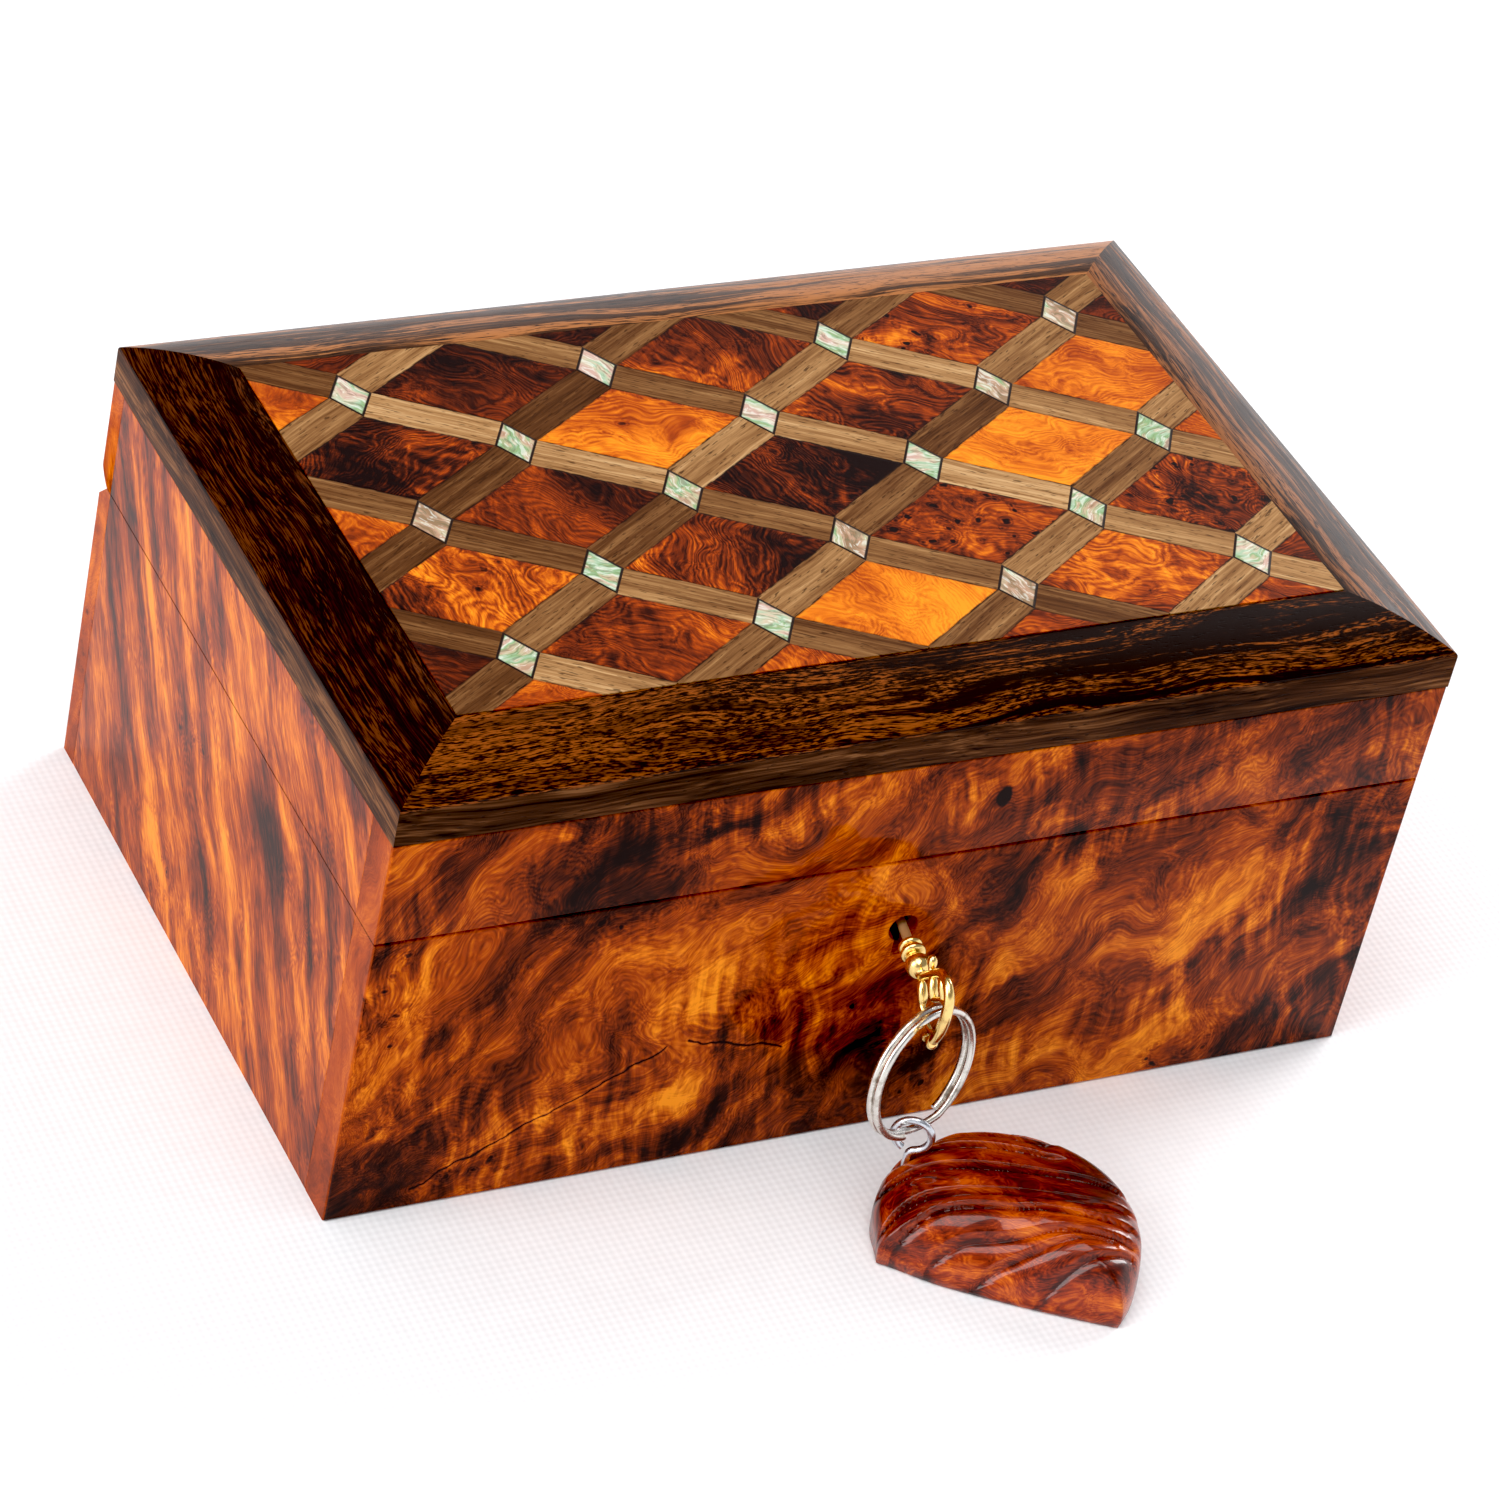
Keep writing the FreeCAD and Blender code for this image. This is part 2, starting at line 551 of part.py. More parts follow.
def plate_from(points, front, back):
    """A flat plate in the XZ plane, from one depth to another."""
    loop = [V(x, front, z) for x, z in points]
    return Part.Face(Part.makePolygon(loop + loop[:1])).extrude(V(0, back - front, 0))


def strike_screws():
    """Two screws that hold the strike to the lid's front wall."""
    middle = FRONT_INSIDE - size("lock_depth") / 2
    return screws_at([V(x, middle, LID_FOOT) for x in (1.0, 18.0)], V(0, 0, 1), size("hinge_screw_radius"),
                     size("hinge_screw_length"))


def lock_block(name, x_range, y_range, z_range):
    """A block of the lock; depths are measured forward from the wall's inner face, heights down from the rim."""
    inside = "-$box_width / 2 + $front_thickness"
    return block(name, (x_range[0], f"{inside} - ({y_range[0]})", f"$body_height - ({z_range[0]})"),
                 (x_range[1], f"{inside} - ({y_range[1]})", f"$body_height - ({z_range[1]})"))


def lock_case():
    """The tray let into the front wall: back plate with flanges, three sides and the selvedge on top."""
    half, wide = "$lock_half_width", "$lock_half_width + $lock_flange"
    plate, depth = "$plate_thickness", "$lock_depth"
    back_plate = lock_block("case_back", (f"-({wide})", wide), (plate, "0"), ("$lock_height", "0"))
    tray = lock_block("case_tray", (f"-{half}", half), (depth, "0"), ("$lock_height", "0"))
    selvedge = lock_block("case_selvedge", (f"-({wide})", wide), (depth, "0"), (plate, "0"))
    hollow = lock_block("case_hollow", (f"-{half} + {plate}", f"{half} - {plate}"), (f"{depth} + 1", plate),
                        (f"$lock_height - {plate}", plate))
    slot = lock_block("strike_slot", (f"{STRIKE_LEFT} - 0.4", f"{STRIKE_LEFT} + $strike_width + 0.4"),
                      (f"{plate} + $bolt_thickness + 0.7", f"{plate} + 0.1"), (f"2 * {plate}", "-1"))
    holes = feature("case_screw_holes", Part.makeCompound(LOCK_SCREWS))
    return cut("case_cut", join("case_whole", [back_plate, tray, selvedge]), hollow, slot, holes)


def lock_cap():
    """The front plate that closes the tray, with the keyhole through it."""
    half, plate = "$lock_half_width - $plate_thickness", "$plate_thickness"
    cap = lock_block("cap_plate", (f"-({half})", half), ("$lock_depth", "$lock_depth - 0.6"),
                     (f"$lock_height - {plate}", plate))
    return cut("cap_cut", cap, feature("cap_keyhole", keyhole_shape()))


def bolt_shape():
    """The sliding bolt: a nose at the top, a tail down its left end and two talons beside the key's bit."""
    centre, axis_z = KEY_AT_LOCK.x, KEY_AT_LOCK.z
    tail, bar = -11.5, axis_z + 2.6
    right, left = centre + 1.9, centre - 1.9
    foot = axis_z - size("bit_reach") + 0.6
    outline = [(tail, BOLT_HIGH), (STRIKE_LEFT - 0.4, BOLT_HIGH), (STRIKE_LEFT - 0.4, BOLT_LOW),
               (tail + 2.4, BOLT_LOW), (tail + 2.4, bar + 1.2), (right + 1.5, bar + 1.2), (right + 1.5, foot),
               (right, foot), (right, bar), (tail + 2.4, bar), (tail + 2.4, foot + 1.4), (left, foot + 1.4),
               (left, foot), (tail, foot)]
    return plate_from(outline, BOLT_FRONT, BOLT_BACK)


def strike_plate():
    """The plate under the lid's front wall with a notched finger that the bolt's nose enters."""
    plate, gap = "$plate_thickness", "$parting_gap"
    front, back = "$plate_thickness + $bolt_thickness + 0.2", "$plate_thickness + $bolt_thickness - 1.4"
    flat = lock_block("strike_flat", ("-2", "21"), ("$lock_depth", "0"), (f"-{gap}", f"-{gap} - {plate}"))
    finger = lock_block("strike_finger", (f"{STRIKE_LEFT}", f"{STRIKE_LEFT} + $strike_width"), (front, back),
                        ("$strike_drop", f"-{gap} - {plate}"))
    notch = lock_block("strike_notch", (f"{STRIKE_LEFT} - 0.1", f"{STRIKE_LEFT} + $bolt_stroke + 0.3"),
                       (f"{front} + 1", f"{back} - 1"), ("8.5", "4.1"))
    holes = feature("strike_screw_holes", Part.makeCompound(strike_screws()))
    return cut("strike_cut", join("strike_whole", [flat, finger]), notch, holes)


def spring_shape():
    """A bent leaf spring that stands on the case floor to the left of the bolt's tail."""
    start, rise, leaf = -size("lock_half_width") + size("plate_thickness"), LOCK_FOOT + size("plate_thickness"), 0.35
    points = [(start, rise), (start + leaf, rise), (start + leaf + 1.1, rise + 8), (start + leaf + 1.1, rise + 12),
              (start + 1.1, rise + 12), (start + 1.1, rise + 8)]
    return plate_from(points, BOLT_FRONT, BOLT_BACK)


def lock():
    """The lock in the front wall and its strike under the lid."""
    piece("lock_case", lock_case())
    piece("lock_cap", lock_cap())
    piece("lock_bolt", feature("lock_bolt_shape", bolt_shape()))
    piece("lock_spring", feature("lock_spring_shape", spring_shape()))
    piece("lock_screws", feature("lock_screw_set", Part.makeCompound(LOCK_SCREWS)))
    piece("strike_plate", strike_plate())
    piece("strike_screws", feature("strike_screw_set", Part.makeCompound(strike_screws())))


# ------------------------------------------------------------------ key, ring, screw eye and fob

def key_shape():
    """The key in its own frame: bit, shaft, two collars and a ball, then a pierced bow in the bit's plane."""
    radius = size("key_radius")
    tip = -7.0
    shaft = Part.makeCylinder(radius, 11.0 - tip, V(tip, 0, 0), V(1, 0, 0))
    bit = Part.makeBox(1.5, size("bit_reach"), size("bit_thickness"), V(-6.7, -size("bit_reach"), -size("bit_thickness") / 2))
    collars = [Part.makeTorus(1.7, 0.75, V(x, 0, 0), V(1, 0, 0)).fuse(Part.makeCylinder(1.8, 1.2, V(x - 0.6, 0, 0), V(1, 0, 0)))
               for x in (3.0, 4.9)]
    ball = Part.makeSphere(2.35, V(7.6, 0, 0))
    middle = V(16.9, 1.6, 0)
    thick = size("bow_thickness")
    plate = Part.makeCylinder(6.75, thick, V(middle.x, middle.y, -thick / 2), V(0, 0, 1))
    seat, drop = size("ring_seat"), size("ring_drop")
    opening_low = -drop - size("ring_wire") - size("ring_play")
    opening = Part.makeBox(7.2, 3.6, 6, V(seat - 3.6, opening_low, -3))
    slots = [Part.makeBox(1.5, 5.2, 6, V(x, opening_low + 5.0, -3)) for x in (12.6, 15.2, 17.8, 20.4)]
    bow = plate.cut([opening, *slots])
    tail = [Part.makeCylinder(0.8, 3.0, V(22.3, -1.6, 0), V(-0.12, -1, 0)), Part.makeSphere(1.05, V(21.9, -4.8, 0)),
            Part.makeCylinder(0.6, 2.6, V(21.9, -4.8, 0), V(-1, -0.75, 0)), Part.makeSphere(0.9, V(19.8, -6.4, 0))]
    whole = shaft.fuse([bit, *collars, ball, bow, *tail]).removeSplitter()
    whole.Placement = KEY_FRAME
    return whole


def ring_axes():
    """The ring's axis and its in-plane directions, across and up."""
    turn, lean = math.radians(size("ring_yaw")), math.radians(size("ring_lean"))
    axis = V(math.sin(turn) * math.cos(lean), -math.cos(turn) * math.cos(lean), math.sin(lean))
    across = V(math.cos(turn), math.sin(turn), 0)
    return axis, across, axis.cross(across)


RING_AXIS, RING_ACROSS, RING_UP = ring_axes()
RING_HANG = KEY_ORIGIN + KEY_AXIS * size("ring_seat") - KEY_UP * size("ring_drop")
RING_CENTRE = RING_HANG - RING_UP * size("ring_radius")
RING_FOOT = RING_CENTRE - RING_UP * size("ring_radius")
EYE_TOP = RING_FOOT + V(0, 0, size("ring_wire") + size("eye_play"))
EYE_CENTRE = EYE_TOP - V(0, 0, size("eye_radius") - size("eye_wire"))


def wire_loop(name, radius, wire, centre, axis):
    """A closed loop of round wire."""
    loop = doc.addObject("Part::Torus", name)
    loop.setExpression("Radius1", bound(radius))
    loop.setExpression("Radius2", bound(wire))
    loop.Placement = Placement(centre, Rotation(V(0, 0, 1), axis))
    return loop


def split_ring():
    """Two coils of wire lying side by side, as one closed ring round its own axis."""
    apart = size("ring_wire") - 0.03
    coils = [wire_loop(f"ring_coil_{name}", "$ring_radius", "$ring_wire", RING_CENTRE + RING_AXIS * side * apart,
                       RING_AXIS) for name, side in (("front", 1), ("back", -1))]
    return join("ring_coils", coils)


def screw_eye():
    """A closed eye of wire on a straight shank that goes down into the fob."""
    turn = math.radians(size("eye_yaw"))
    eye = wire_loop("eye_loop", "$eye_radius", "$eye_wire", EYE_CENTRE, V(math.sin(turn), math.cos(turn), 0))
    reach = EYE_CENTRE.z - size("eye_radius")
    shank = rod("eye_shank", "$eye_wire", f"{reach} - $shank_foot", (f"{EYE_CENTRE.x}", f"{EYE_CENTRE.y}", "$shank_foot"))
    return join("eye_whole", [eye, shank])


def fob_outline(scale, height):
    """The fob's D-shaped outline at one height: a shallow front arc and a deep back one."""
    length, depth = size("fob_length"), size("fob_depth")
    middle = V(length * 0.5, depth * 0.4, 0)

    def at(x, y):
        point = middle + (V(x, y, 0) - middle) * scale
        return V(point.x, point.y, height)

    front = Part.Arc(at(0, 0), at(length * 0.45, -1.3), at(length, 0))
    back = Part.Arc(at(length, 0), at(length / 2, depth), at(0, 0))
    return Part.Wire([front.toShape(), back.toShape()])


def fob_shape():
    """The fob's block, upright at the edge and domed above, bored for the screw eye."""
    full = size("fob_height")
    sections = [(0.965, 0.0), (1.0, 0.3 * full), (0.97, 0.56 * full), (0.86, 0.79 * full), (0.62, 0.94 * full),
                (0.3, full)]
    shape = Part.makeLoft([fob_outline(scale, height) for scale, height in sections], True, True)
    turn = Rotation(V(0, 0, 1), -size("fob_turn"))
    corner = V(EYE_CENTRE.x - 11.7, EYE_CENTRE.y - 12.2, 0)
    shape.Placement = Placement(corner, turn)
    foot = V(EYE_CENTRE.x, EYE_CENTRE.y, size("shank_foot"))
    return shape.cut(Part.makeCylinder(size("eye_wire"), 40, foot, V(0, 0, 1)))


def key_and_fob():
    """The key in the lock, the ring through its bow, and the fob on the ring."""
    piece("key", feature("key_shape", key_shape()))
    piece("split_ring", split_ring())
    piece("screw_eye", screw_eye())
    piece("fob", feature("fob_shape", fob_shape()))


# ------------------------------------------------------------------ build, check and write

def check_document():
    """Stop if any object failed or any piece isn't a valid closed shape."""
    doc.recompute()
    failed = [obj.Name for obj in doc.Objects if {"Invalid", "Error"} & set(obj.State)]
    if failed:
        raise RuntimeError(f"failed objects: {failed}")
    for obj in PIECES:
        shape = obj.Shape
        if shape.isNull() or not shape.isValid() or not shape.Solids or shape.Volume <= 0:
            raise RuntimeError(f"{obj.Label} has no valid solid")


def write_pieces():
    """Write each piece to its own STEP file."""
    os.makedirs("parts", exist_ok=True)
    for obj in PIECES:
        obj.Shape.exportStep(os.path.join("parts", f"{obj.Label}.step"))
        print(f"{obj.Label}: {len(obj.Shape.Solids)} solid(s), {obj.Shape.Volume:.1f} mm3")


body_walls()
lid_walls()
lid_top()
hinges()
lock()
key_and_fob()
check_document()
write_pieces()
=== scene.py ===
"""Inlaid wooden box: finished surfaces and small turned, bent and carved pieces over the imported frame.

Everything is in metres in the row frame: origin at the centre of the base, +Z up, front towards -Y.
"""

import json
import logging
import math
from dataclasses import dataclass, field
from enum import Enum
from typing import Iterable, Mapping, Sequence

import bmesh
import bpy
from mathutils import Matrix, Vector


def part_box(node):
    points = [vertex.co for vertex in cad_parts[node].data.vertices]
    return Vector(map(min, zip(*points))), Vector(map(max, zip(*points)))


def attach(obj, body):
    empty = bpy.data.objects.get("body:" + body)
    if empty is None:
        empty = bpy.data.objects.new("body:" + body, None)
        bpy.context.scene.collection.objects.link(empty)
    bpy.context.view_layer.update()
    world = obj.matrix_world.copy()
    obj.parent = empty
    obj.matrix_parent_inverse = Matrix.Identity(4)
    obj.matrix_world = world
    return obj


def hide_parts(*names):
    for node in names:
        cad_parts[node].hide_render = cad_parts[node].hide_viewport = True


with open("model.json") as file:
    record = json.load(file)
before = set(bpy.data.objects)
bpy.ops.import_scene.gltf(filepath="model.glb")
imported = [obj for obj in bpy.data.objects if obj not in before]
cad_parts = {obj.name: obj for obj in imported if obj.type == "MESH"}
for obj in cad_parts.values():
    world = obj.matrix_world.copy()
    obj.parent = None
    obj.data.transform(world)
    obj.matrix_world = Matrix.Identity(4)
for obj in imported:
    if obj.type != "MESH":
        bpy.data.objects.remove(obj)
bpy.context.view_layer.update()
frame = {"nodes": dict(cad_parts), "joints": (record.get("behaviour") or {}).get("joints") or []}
LOG = logging.getLogger("inlaid_box")
MM = 0.001
WELD = 1e-6
EVEN_TONE = 0.46
Colour = tuple[float, float, float]
X_AXIS, Y_AXIS, Z_AXIS = (1.0, 0.0, 0.0), (0.0, 1.0, 0.0), (0.0, 0.0, 1.0)


# ------------------------------------------------------------------ shader recipes

class Wire:
    """One output socket of a recipe, with arithmetic that adds Math nodes."""

    def __init__(self, recipe: "Recipe", socket: bpy.types.NodeSocket) -> None:
        """Keep the socket and the recipe it belongs to."""
        self.recipe = recipe
        self.socket = socket

    def _math(self, operation: str, *values: "Wire | float") -> "Wire":
        """Add one Math node."""
        return self.recipe.node("ShaderNodeMath", {"operation": operation}, dict(enumerate(values)))

    def __add__(self, other: "Wire | float") -> "Wire":
        """Sum."""
        return self._math("ADD", self, other)

    __radd__ = __add__

    def __sub__(self, other: "Wire | float") -> "Wire":
        """Difference."""
        return self._math("SUBTRACT", self, other)

    def __rsub__(self, other: "Wire | float") -> "Wire":
        """Difference from a number."""
        return self._math("SUBTRACT", other, self)

    def __mul__(self, other: "Wire | float") -> "Wire":
        """Product."""
        return self._math("MULTIPLY", self, other)

    __rmul__ = __mul__

    def __truediv__(self, other: "Wire | float") -> "Wire":
        """Quotient."""
        return self._math("DIVIDE", self, other)

    def __pow__(self, other: float) -> "Wire":
        """Power."""
        return self._math("POWER", self, other)

    def __abs__(self) -> "Wire":
        """Size without sign."""
        return self._math("ABSOLUTE", self)

    def floor(self) -> "Wire":
        """Whole number below."""
        return self._math("FLOOR", self)

    def part(self) -> "Wire":
        """What is left over the whole number below."""
        return self._math("FRACT", self)

    def sine(self) -> "Wire":
        """Sine of an angle in radians."""
        return self._math("SINE", self)

    def least(self, other: "Wire | float") -> "Wire":
        """The smaller of two values."""
        return self._math("MINIMUM", self, other)

    def step(self, low: float, high: float) -> "Wire":
        """0 below low, 1 above high, smooth between; high may be the lower number, which turns it round."""
        return self.recipe.node("ShaderNodeMapRange", {"interpolation_type": "SMOOTHSTEP", "clamp": True},
                                {"Value": self, "From Min": low, "From Max": high, "To Min": 0.0, "To Max": 1.0})


class Recipe:
    """A material, or the world, under construction."""

    def __init__(self, name: str, world: bool = False) -> None:
        """Start an empty node tree."""
        self.owner = (bpy.data.worlds if world else bpy.data.materials).new(name)
        self.owner.use_nodes = True
        self.tree = self.owner.node_tree
        self.tree.nodes.clear()

    def node(self, kind: str, settings: dict, inputs: dict, output: int | str = 0) -> Wire:
        """Add a node.

        Args:
            kind: the node's type.
            settings: its properties; "stops" and "between" set a ramp's colours and interpolation.
            inputs: values or wires by socket name or number.
            output: which output to hand back.

        Returns:
            The output as a wire.
        """
        made = self.tree.nodes.new(kind)
        for key, value in settings.items():
            if key == "stops":
                self._fill_ramp(made.color_ramp, value)
            elif key == "between":
                made.color_ramp.interpolation = value
            else:
                setattr(made, key, value)
        for key, value in inputs.items():
            if isinstance(value, Wire):
                self.tree.links.new(value.socket, made.inputs[key])
            else:
                made.inputs[key].default_value = value
        return Wire(self, made.outputs[output])

    @staticmethod
    def _fill_ramp(ramp: bpy.types.ColorRamp, stops: Sequence[tuple[float, Colour]]) -> None:
        """Give a ramp its stops, in rising order."""
        while len(ramp.elements) > 1:
            ramp.elements.remove(ramp.elements[-1])
        for number, (place, colour) in enumerate(stops):
            stop = ramp.elements[0] if number == 0 else ramp.elements.new(place)
            stop.position = place
            stop.color = (*colour, 1.0)

    def place(self) -> Wire:
        """The point on the object, in millimetres."""
        point = self.node("ShaderNodeTexCoord", {}, {}, "Object")
        return self.scaled(point, 1000.0)

    def scaled(self, vector: Wire, by: float) -> Wire:
        """A vector times a number."""
        return self.node("ShaderNodeVectorMath", {"operation": "SCALE"}, {0: vector, "Scale": by})

    def stretched(self, vector: Wire, by: Sequence[float]) -> Wire:
        """A vector times three numbers."""
        return self.node("ShaderNodeVectorMath", {"operation": "MULTIPLY"}, {0: vector, 1: tuple(by)})

    def shifted(self, vector: Wire, by: "Wire | Sequence[float]") -> Wire:
        """A vector plus another."""
        return self.node("ShaderNodeVectorMath", {"operation": "ADD"},
                         {0: vector, 1: by if isinstance(by, Wire) else tuple(by)})

    def turned(self, vector: Wire, angle: "Wire | float", axis: Sequence[float]) -> Wire:
        """A vector turned about an axis through the origin."""
        return self.node("ShaderNodeVectorRotate", {"rotation_type": "AXIS_ANGLE"},
                         {"Vector": vector, "Axis": tuple(axis), "Angle": angle})

    def split(self, vector: Wire) -> tuple[Wire, Wire, Wire]:
        """A vector's three parts."""
        first = self.node("ShaderNodeSeparateXYZ", {}, {0: vector}, 0)
        outputs = first.socket.node.outputs
        return first, Wire(self, outputs[1]), Wire(self, outputs[2])

    def joined(self, x: "Wire | float", y: "Wire | float", z: "Wire | float") -> Wire:
        """A vector from three parts."""
        return self.node("ShaderNodeCombineXYZ", {}, {0: x, 1: y, 2: z})

    def noise(self, vector: Wire, scale: float, detail: float = 4.0, roughness: float = 0.55,
              distortion: float = 0.0) -> Wire:
        """Soft random values; scale is per millimetre."""
        return self.node("ShaderNodeTexNoise", {"noise_dimensions": "3D"},
                         {"Vector": vector, "Scale": scale, "Detail": detail, "Roughness": roughness,
                          "Distortion": distortion})

    def streaks(self, vector: Wire, squeeze: float, width: float, detail: float, roughness: float = 0.55) -> Wire:
        """Soft random streaks along X: width is in millimetres, and squeeze is width over length."""
        return self.noise(self.stretched(vector, (squeeze, 1.0, 1.0)), 1 / width, detail, roughness)

    def drift(self, vector: Wire, scale: float, amount: float, detail: float = 2.0) -> Wire:
        """A vector pushed about by soft noise, by up to about half the amount."""
        push = self.node("ShaderNodeTexNoise", {"noise_dimensions": "3D"},
                         {"Vector": vector, "Scale": scale, "Detail": detail}, "Color")
        centred = self.shifted(push, (-0.5, -0.5, -0.5))
        return self.shifted(vector, self.scaled(centred, amount))

    def spots(self, vector: Wire, scale: float) -> Wire:
        """Distance to the nearest of scattered points."""
        return self.node("ShaderNodeTexVoronoi", {"voronoi_dimensions": "3D"},
                         {"Vector": vector, "Scale": scale}, "Distance")

    def chance(self, seed: "Wire | float") -> Wire:
        """A random value from 0 to 1 for each whole seed."""
        return self.node("ShaderNodeTexWhiteNoise", {"noise_dimensions": "1D"}, {"W": seed}, "Value")

    def ramp(self, value: Wire, stops: Sequence[tuple[float, Colour]], between: str = "LINEAR") -> Wire:
        """A colour looked up by a value."""
        return self.node("ShaderNodeValToRGB", {"stops": stops, "between": between}, {0: value})

    def mixed(self, share: "Wire | float", first: "Wire | Colour", second: "Wire | Colour") -> Wire:
        """Two colours mixed by a share of the second."""
        colours = [value if isinstance(value, Wire) else (*value, 1.0) for value in (first, second)]
        return self.node("ShaderNodeMix", {"data_type": "RGBA", "blend_type": "MIX", "clamp_result": False},
                         {0: share, 6: colours[0], 7: colours[1]}, 2)

    def bump(self, height: Wire, depth_mm: float, strength: float = 1.0) -> Wire:
        """A surface normal from a height between 0 and 1."""
        return self.node("ShaderNodeBump", {}, {"Strength": strength, "Distance": depth_mm * MM, "Height": height})

    def surface(self, sockets: dict) -> bpy.types.Material:
        """Finish the material with one Principled surface."""
        self.ended(self.node("ShaderNodeBsdfPrincipled", {}, sockets), "ShaderNodeOutputMaterial")
        return self.owner

    def ended(self, shader: Wire, kind: str) -> None:
        """Join a shader to a new output node."""
        end = self.tree.nodes.new(kind)
        self.tree.links.new(shader.socket, end.inputs["Surface"])


# ------------------------------------------------------------------ finishes

BURL_PALETTE = (
    (0.00, (0.007, 0.0015, 0.0006)),
    (0.20, (0.040, 0.0060, 0.0012)),
    (0.40, (0.150, 0.0200, 0.0025)),
    (0.58, (0.330, 0.0470, 0.0030)),
    (0.76, (0.580, 0.1280, 0.0055)),
    (1.00, (0.850, 0.2700, 0.0120)),
)


@dataclass(frozen=True)
class Lacquer:
    """The clear gloss that all the wood has."""

    coat: float = 0.24
    coat_roughness: float = 0.07
    roughness: float = 0.5
    specular: float = 0.06

    def sockets(self) -> dict:
        """The constant sockets of a lacquered wood surface."""
        return {"Coat Weight": self.coat, "Coat Roughness": self.coat_roughness, "Coat IOR": 1.5,
                "Specular IOR Level": self.specular}


@dataclass(frozen=True)
class Figure:
    """How thuya burl's grain swirls: swirl, push, flame and eye are sizes in millimetres."""

    swirl: float = 46.0
    push: float = 50.0
    flame: float = 12.0
    along: float = 0.26
    contrast: float = 2.15
    blotch: float = 1.3
    cross: float = 1.55
    cross_turn: float = 1.05
    lines: float = 400.0
    normal: Colour = Y_AXIS
    eye: float = 3.1
    growth: float = 0.052

    def draw(self, recipe: Recipe, spot: Wire, bias: "Wire | float", eyes: "Wire | float") -> tuple[Wire, Wire]:
        """The wood's tone, and a height for its fine relief.

        Args:
            recipe: the material.
            spot: the point in millimetres, its X along the grain.
            bias: what to add to the tone.
            eyes: how many dark eyes there are, 0 to 1.

        Returns:
            The tone from dark to light, and a height from 0 to 1.
        """
        swept = recipe.drift(spot, 1 / self.swirl, self.push, 2.5)
        curled = recipe.drift(swept, 1 / (self.swirl * 0.3), self.push * 0.16, 2.0)
        lined = recipe.stretched(curled, (self.along, 1.0, 1.0))
        flames = recipe.noise(lined, 1 / self.flame, 7.0, 0.66, 0.4)
        broad = recipe.streaks(swept, 0.6, self.flame * 3.0, 3.0, 0.5)
        fine = recipe.streaks(curled, 0.10, 0.42, 2.0, 0.6)
        growth = (recipe.noise(lined, 1 / (self.flame * 1.7), 2.0, 0.4) * self.lines).sine()
        slanted = recipe.turned(recipe.drift(spot, 1 / 30.0, 14.0, 2.0), self.cross_turn, self.normal)
        stripes = recipe.streaks(slanted, 0.07, 2.7, 4.0, 0.6)
        striped = recipe.noise(swept, 1 / 26.0, 1.0).step(0.40, 0.62)
        spots = recipe.spots(recipe.drift(spot, 1 / 4.0, 3.4), 1 / self.eye)
        cluster = recipe.noise(spot, 1 / (self.swirl * 0.45), 2.0, 0.5) + (eyes - 0.5)
        eyed = spots.step(0.30, 0.12) * cluster.step(0.58, 0.68)
        ring = abs(spots - 0.36).step(0.10, 0.03) * cluster.step(0.54, 0.66)
        tone = ((flames - 0.5) * self.contrast + (broad - 0.5) * self.blotch + (fine - 0.5) * 0.55
                + growth * self.growth + (stripes - 0.5) * striped * self.cross + EVEN_TONE + bias
                - eyed * 0.6 - ring * 0.12)
        return tone, (fine * 0.7 + flames * 0.3)


@dataclass(frozen=True)
class ThuyaBoard:
    """Glossy thuya burl on a wall of the box, with painted shade along the lid's parting."""

    name: str
    turn: float = 0.5
    normal: Colour = Y_AXIS
    shift: Colour = (0.0, 0.0, 0.0)
    bias: float = 0.0
    eyes: float = 0.5
    figure: Figure = Figure()
    lacquer: Lacquer = Lacquer()
    marked: bool = False
    parting: float = 61.05
    # the dark colour of the painted shade along the lid's parting
    glue_and_gap_shade: Colour = (0.010, 0.003, 0.001)

    def material(self) -> bpy.types.Material:
        """Make the material."""
        recipe = Recipe(self.name)
        place = recipe.place()
        spot = recipe.turned(recipe.shifted(place, self.shift), self.turn, self.normal)
        if self.normal == X_AXIS:
            spot = recipe.turned(spot, math.pi / 2, Z_AXIS)
        tone, relief = self.figure.draw(recipe, spot, self.bias, self.eyes)
        if self.marked:
            tone = tone - self._marks(recipe, place)
        side, _, level = recipe.split(recipe.node("ShaderNodeTexCoord", {}, {}, "Normal"))
        if self.normal == Y_AXIS:
            end_grain = abs(side).step(0.6, 0.8)
            tone = tone + end_grain * ((tone - 0.5) * -0.62 + 0.10)
        _, _, height = recipe.split(place)
        # Painted shade: a dark line along the lid's parting on the upright faces, for the shadow in the gap
        # between lid and box.
        seam = abs(height - self.parting).step(0.30, 0.10) * abs(level).step(0.9, 0.6)
        colour = recipe.mixed(seam * 0.62, recipe.ramp(tone, BURL_PALETTE), self.glue_and_gap_shade)
        return recipe.surface({"Base Color": colour, "Roughness": self.lacquer.roughness,
                               "Normal": recipe.bump(relief, 0.03, 0.35), **self.lacquer.sockets()})

    @staticmethod
    def _marks(recipe: Recipe, place: Wire) -> Wire:
        """A small dark knot above the keyhole and a hairline crack low on the left."""
        wavy = recipe.drift(place, 1 / 7.0, 3.8, 4.0)
        x, _, z = recipe.split(wavy)

        def line(start: float, end: float, foot: float, slope: float) -> Wire:
            """How far the point is from a sloping line that runs from start to end along X."""
            return (abs((z - foot) - (x - start) * slope) + (x - end).step(-2.0, 2.0) * 9.0
                    + (x - start).step(2.0, -2.0) * 9.0)

        knot = (((x - 14.0) * 1.1) ** 2.0 + ((z - 72.6) * 0.7) ** 2.0) ** 0.5
        crack = line(-87.0, -39.0, 3.0, 0.52).least(line(-39.0, -17.0, 28.0, -0.27))
        pale_side = abs(crack - 0.7).step(0.5, 0.1)
        return knot.step(1.9, 0.9) * 0.9 + crack.step(0.34, 0.08) * 0.55 - pale_side * 0.10


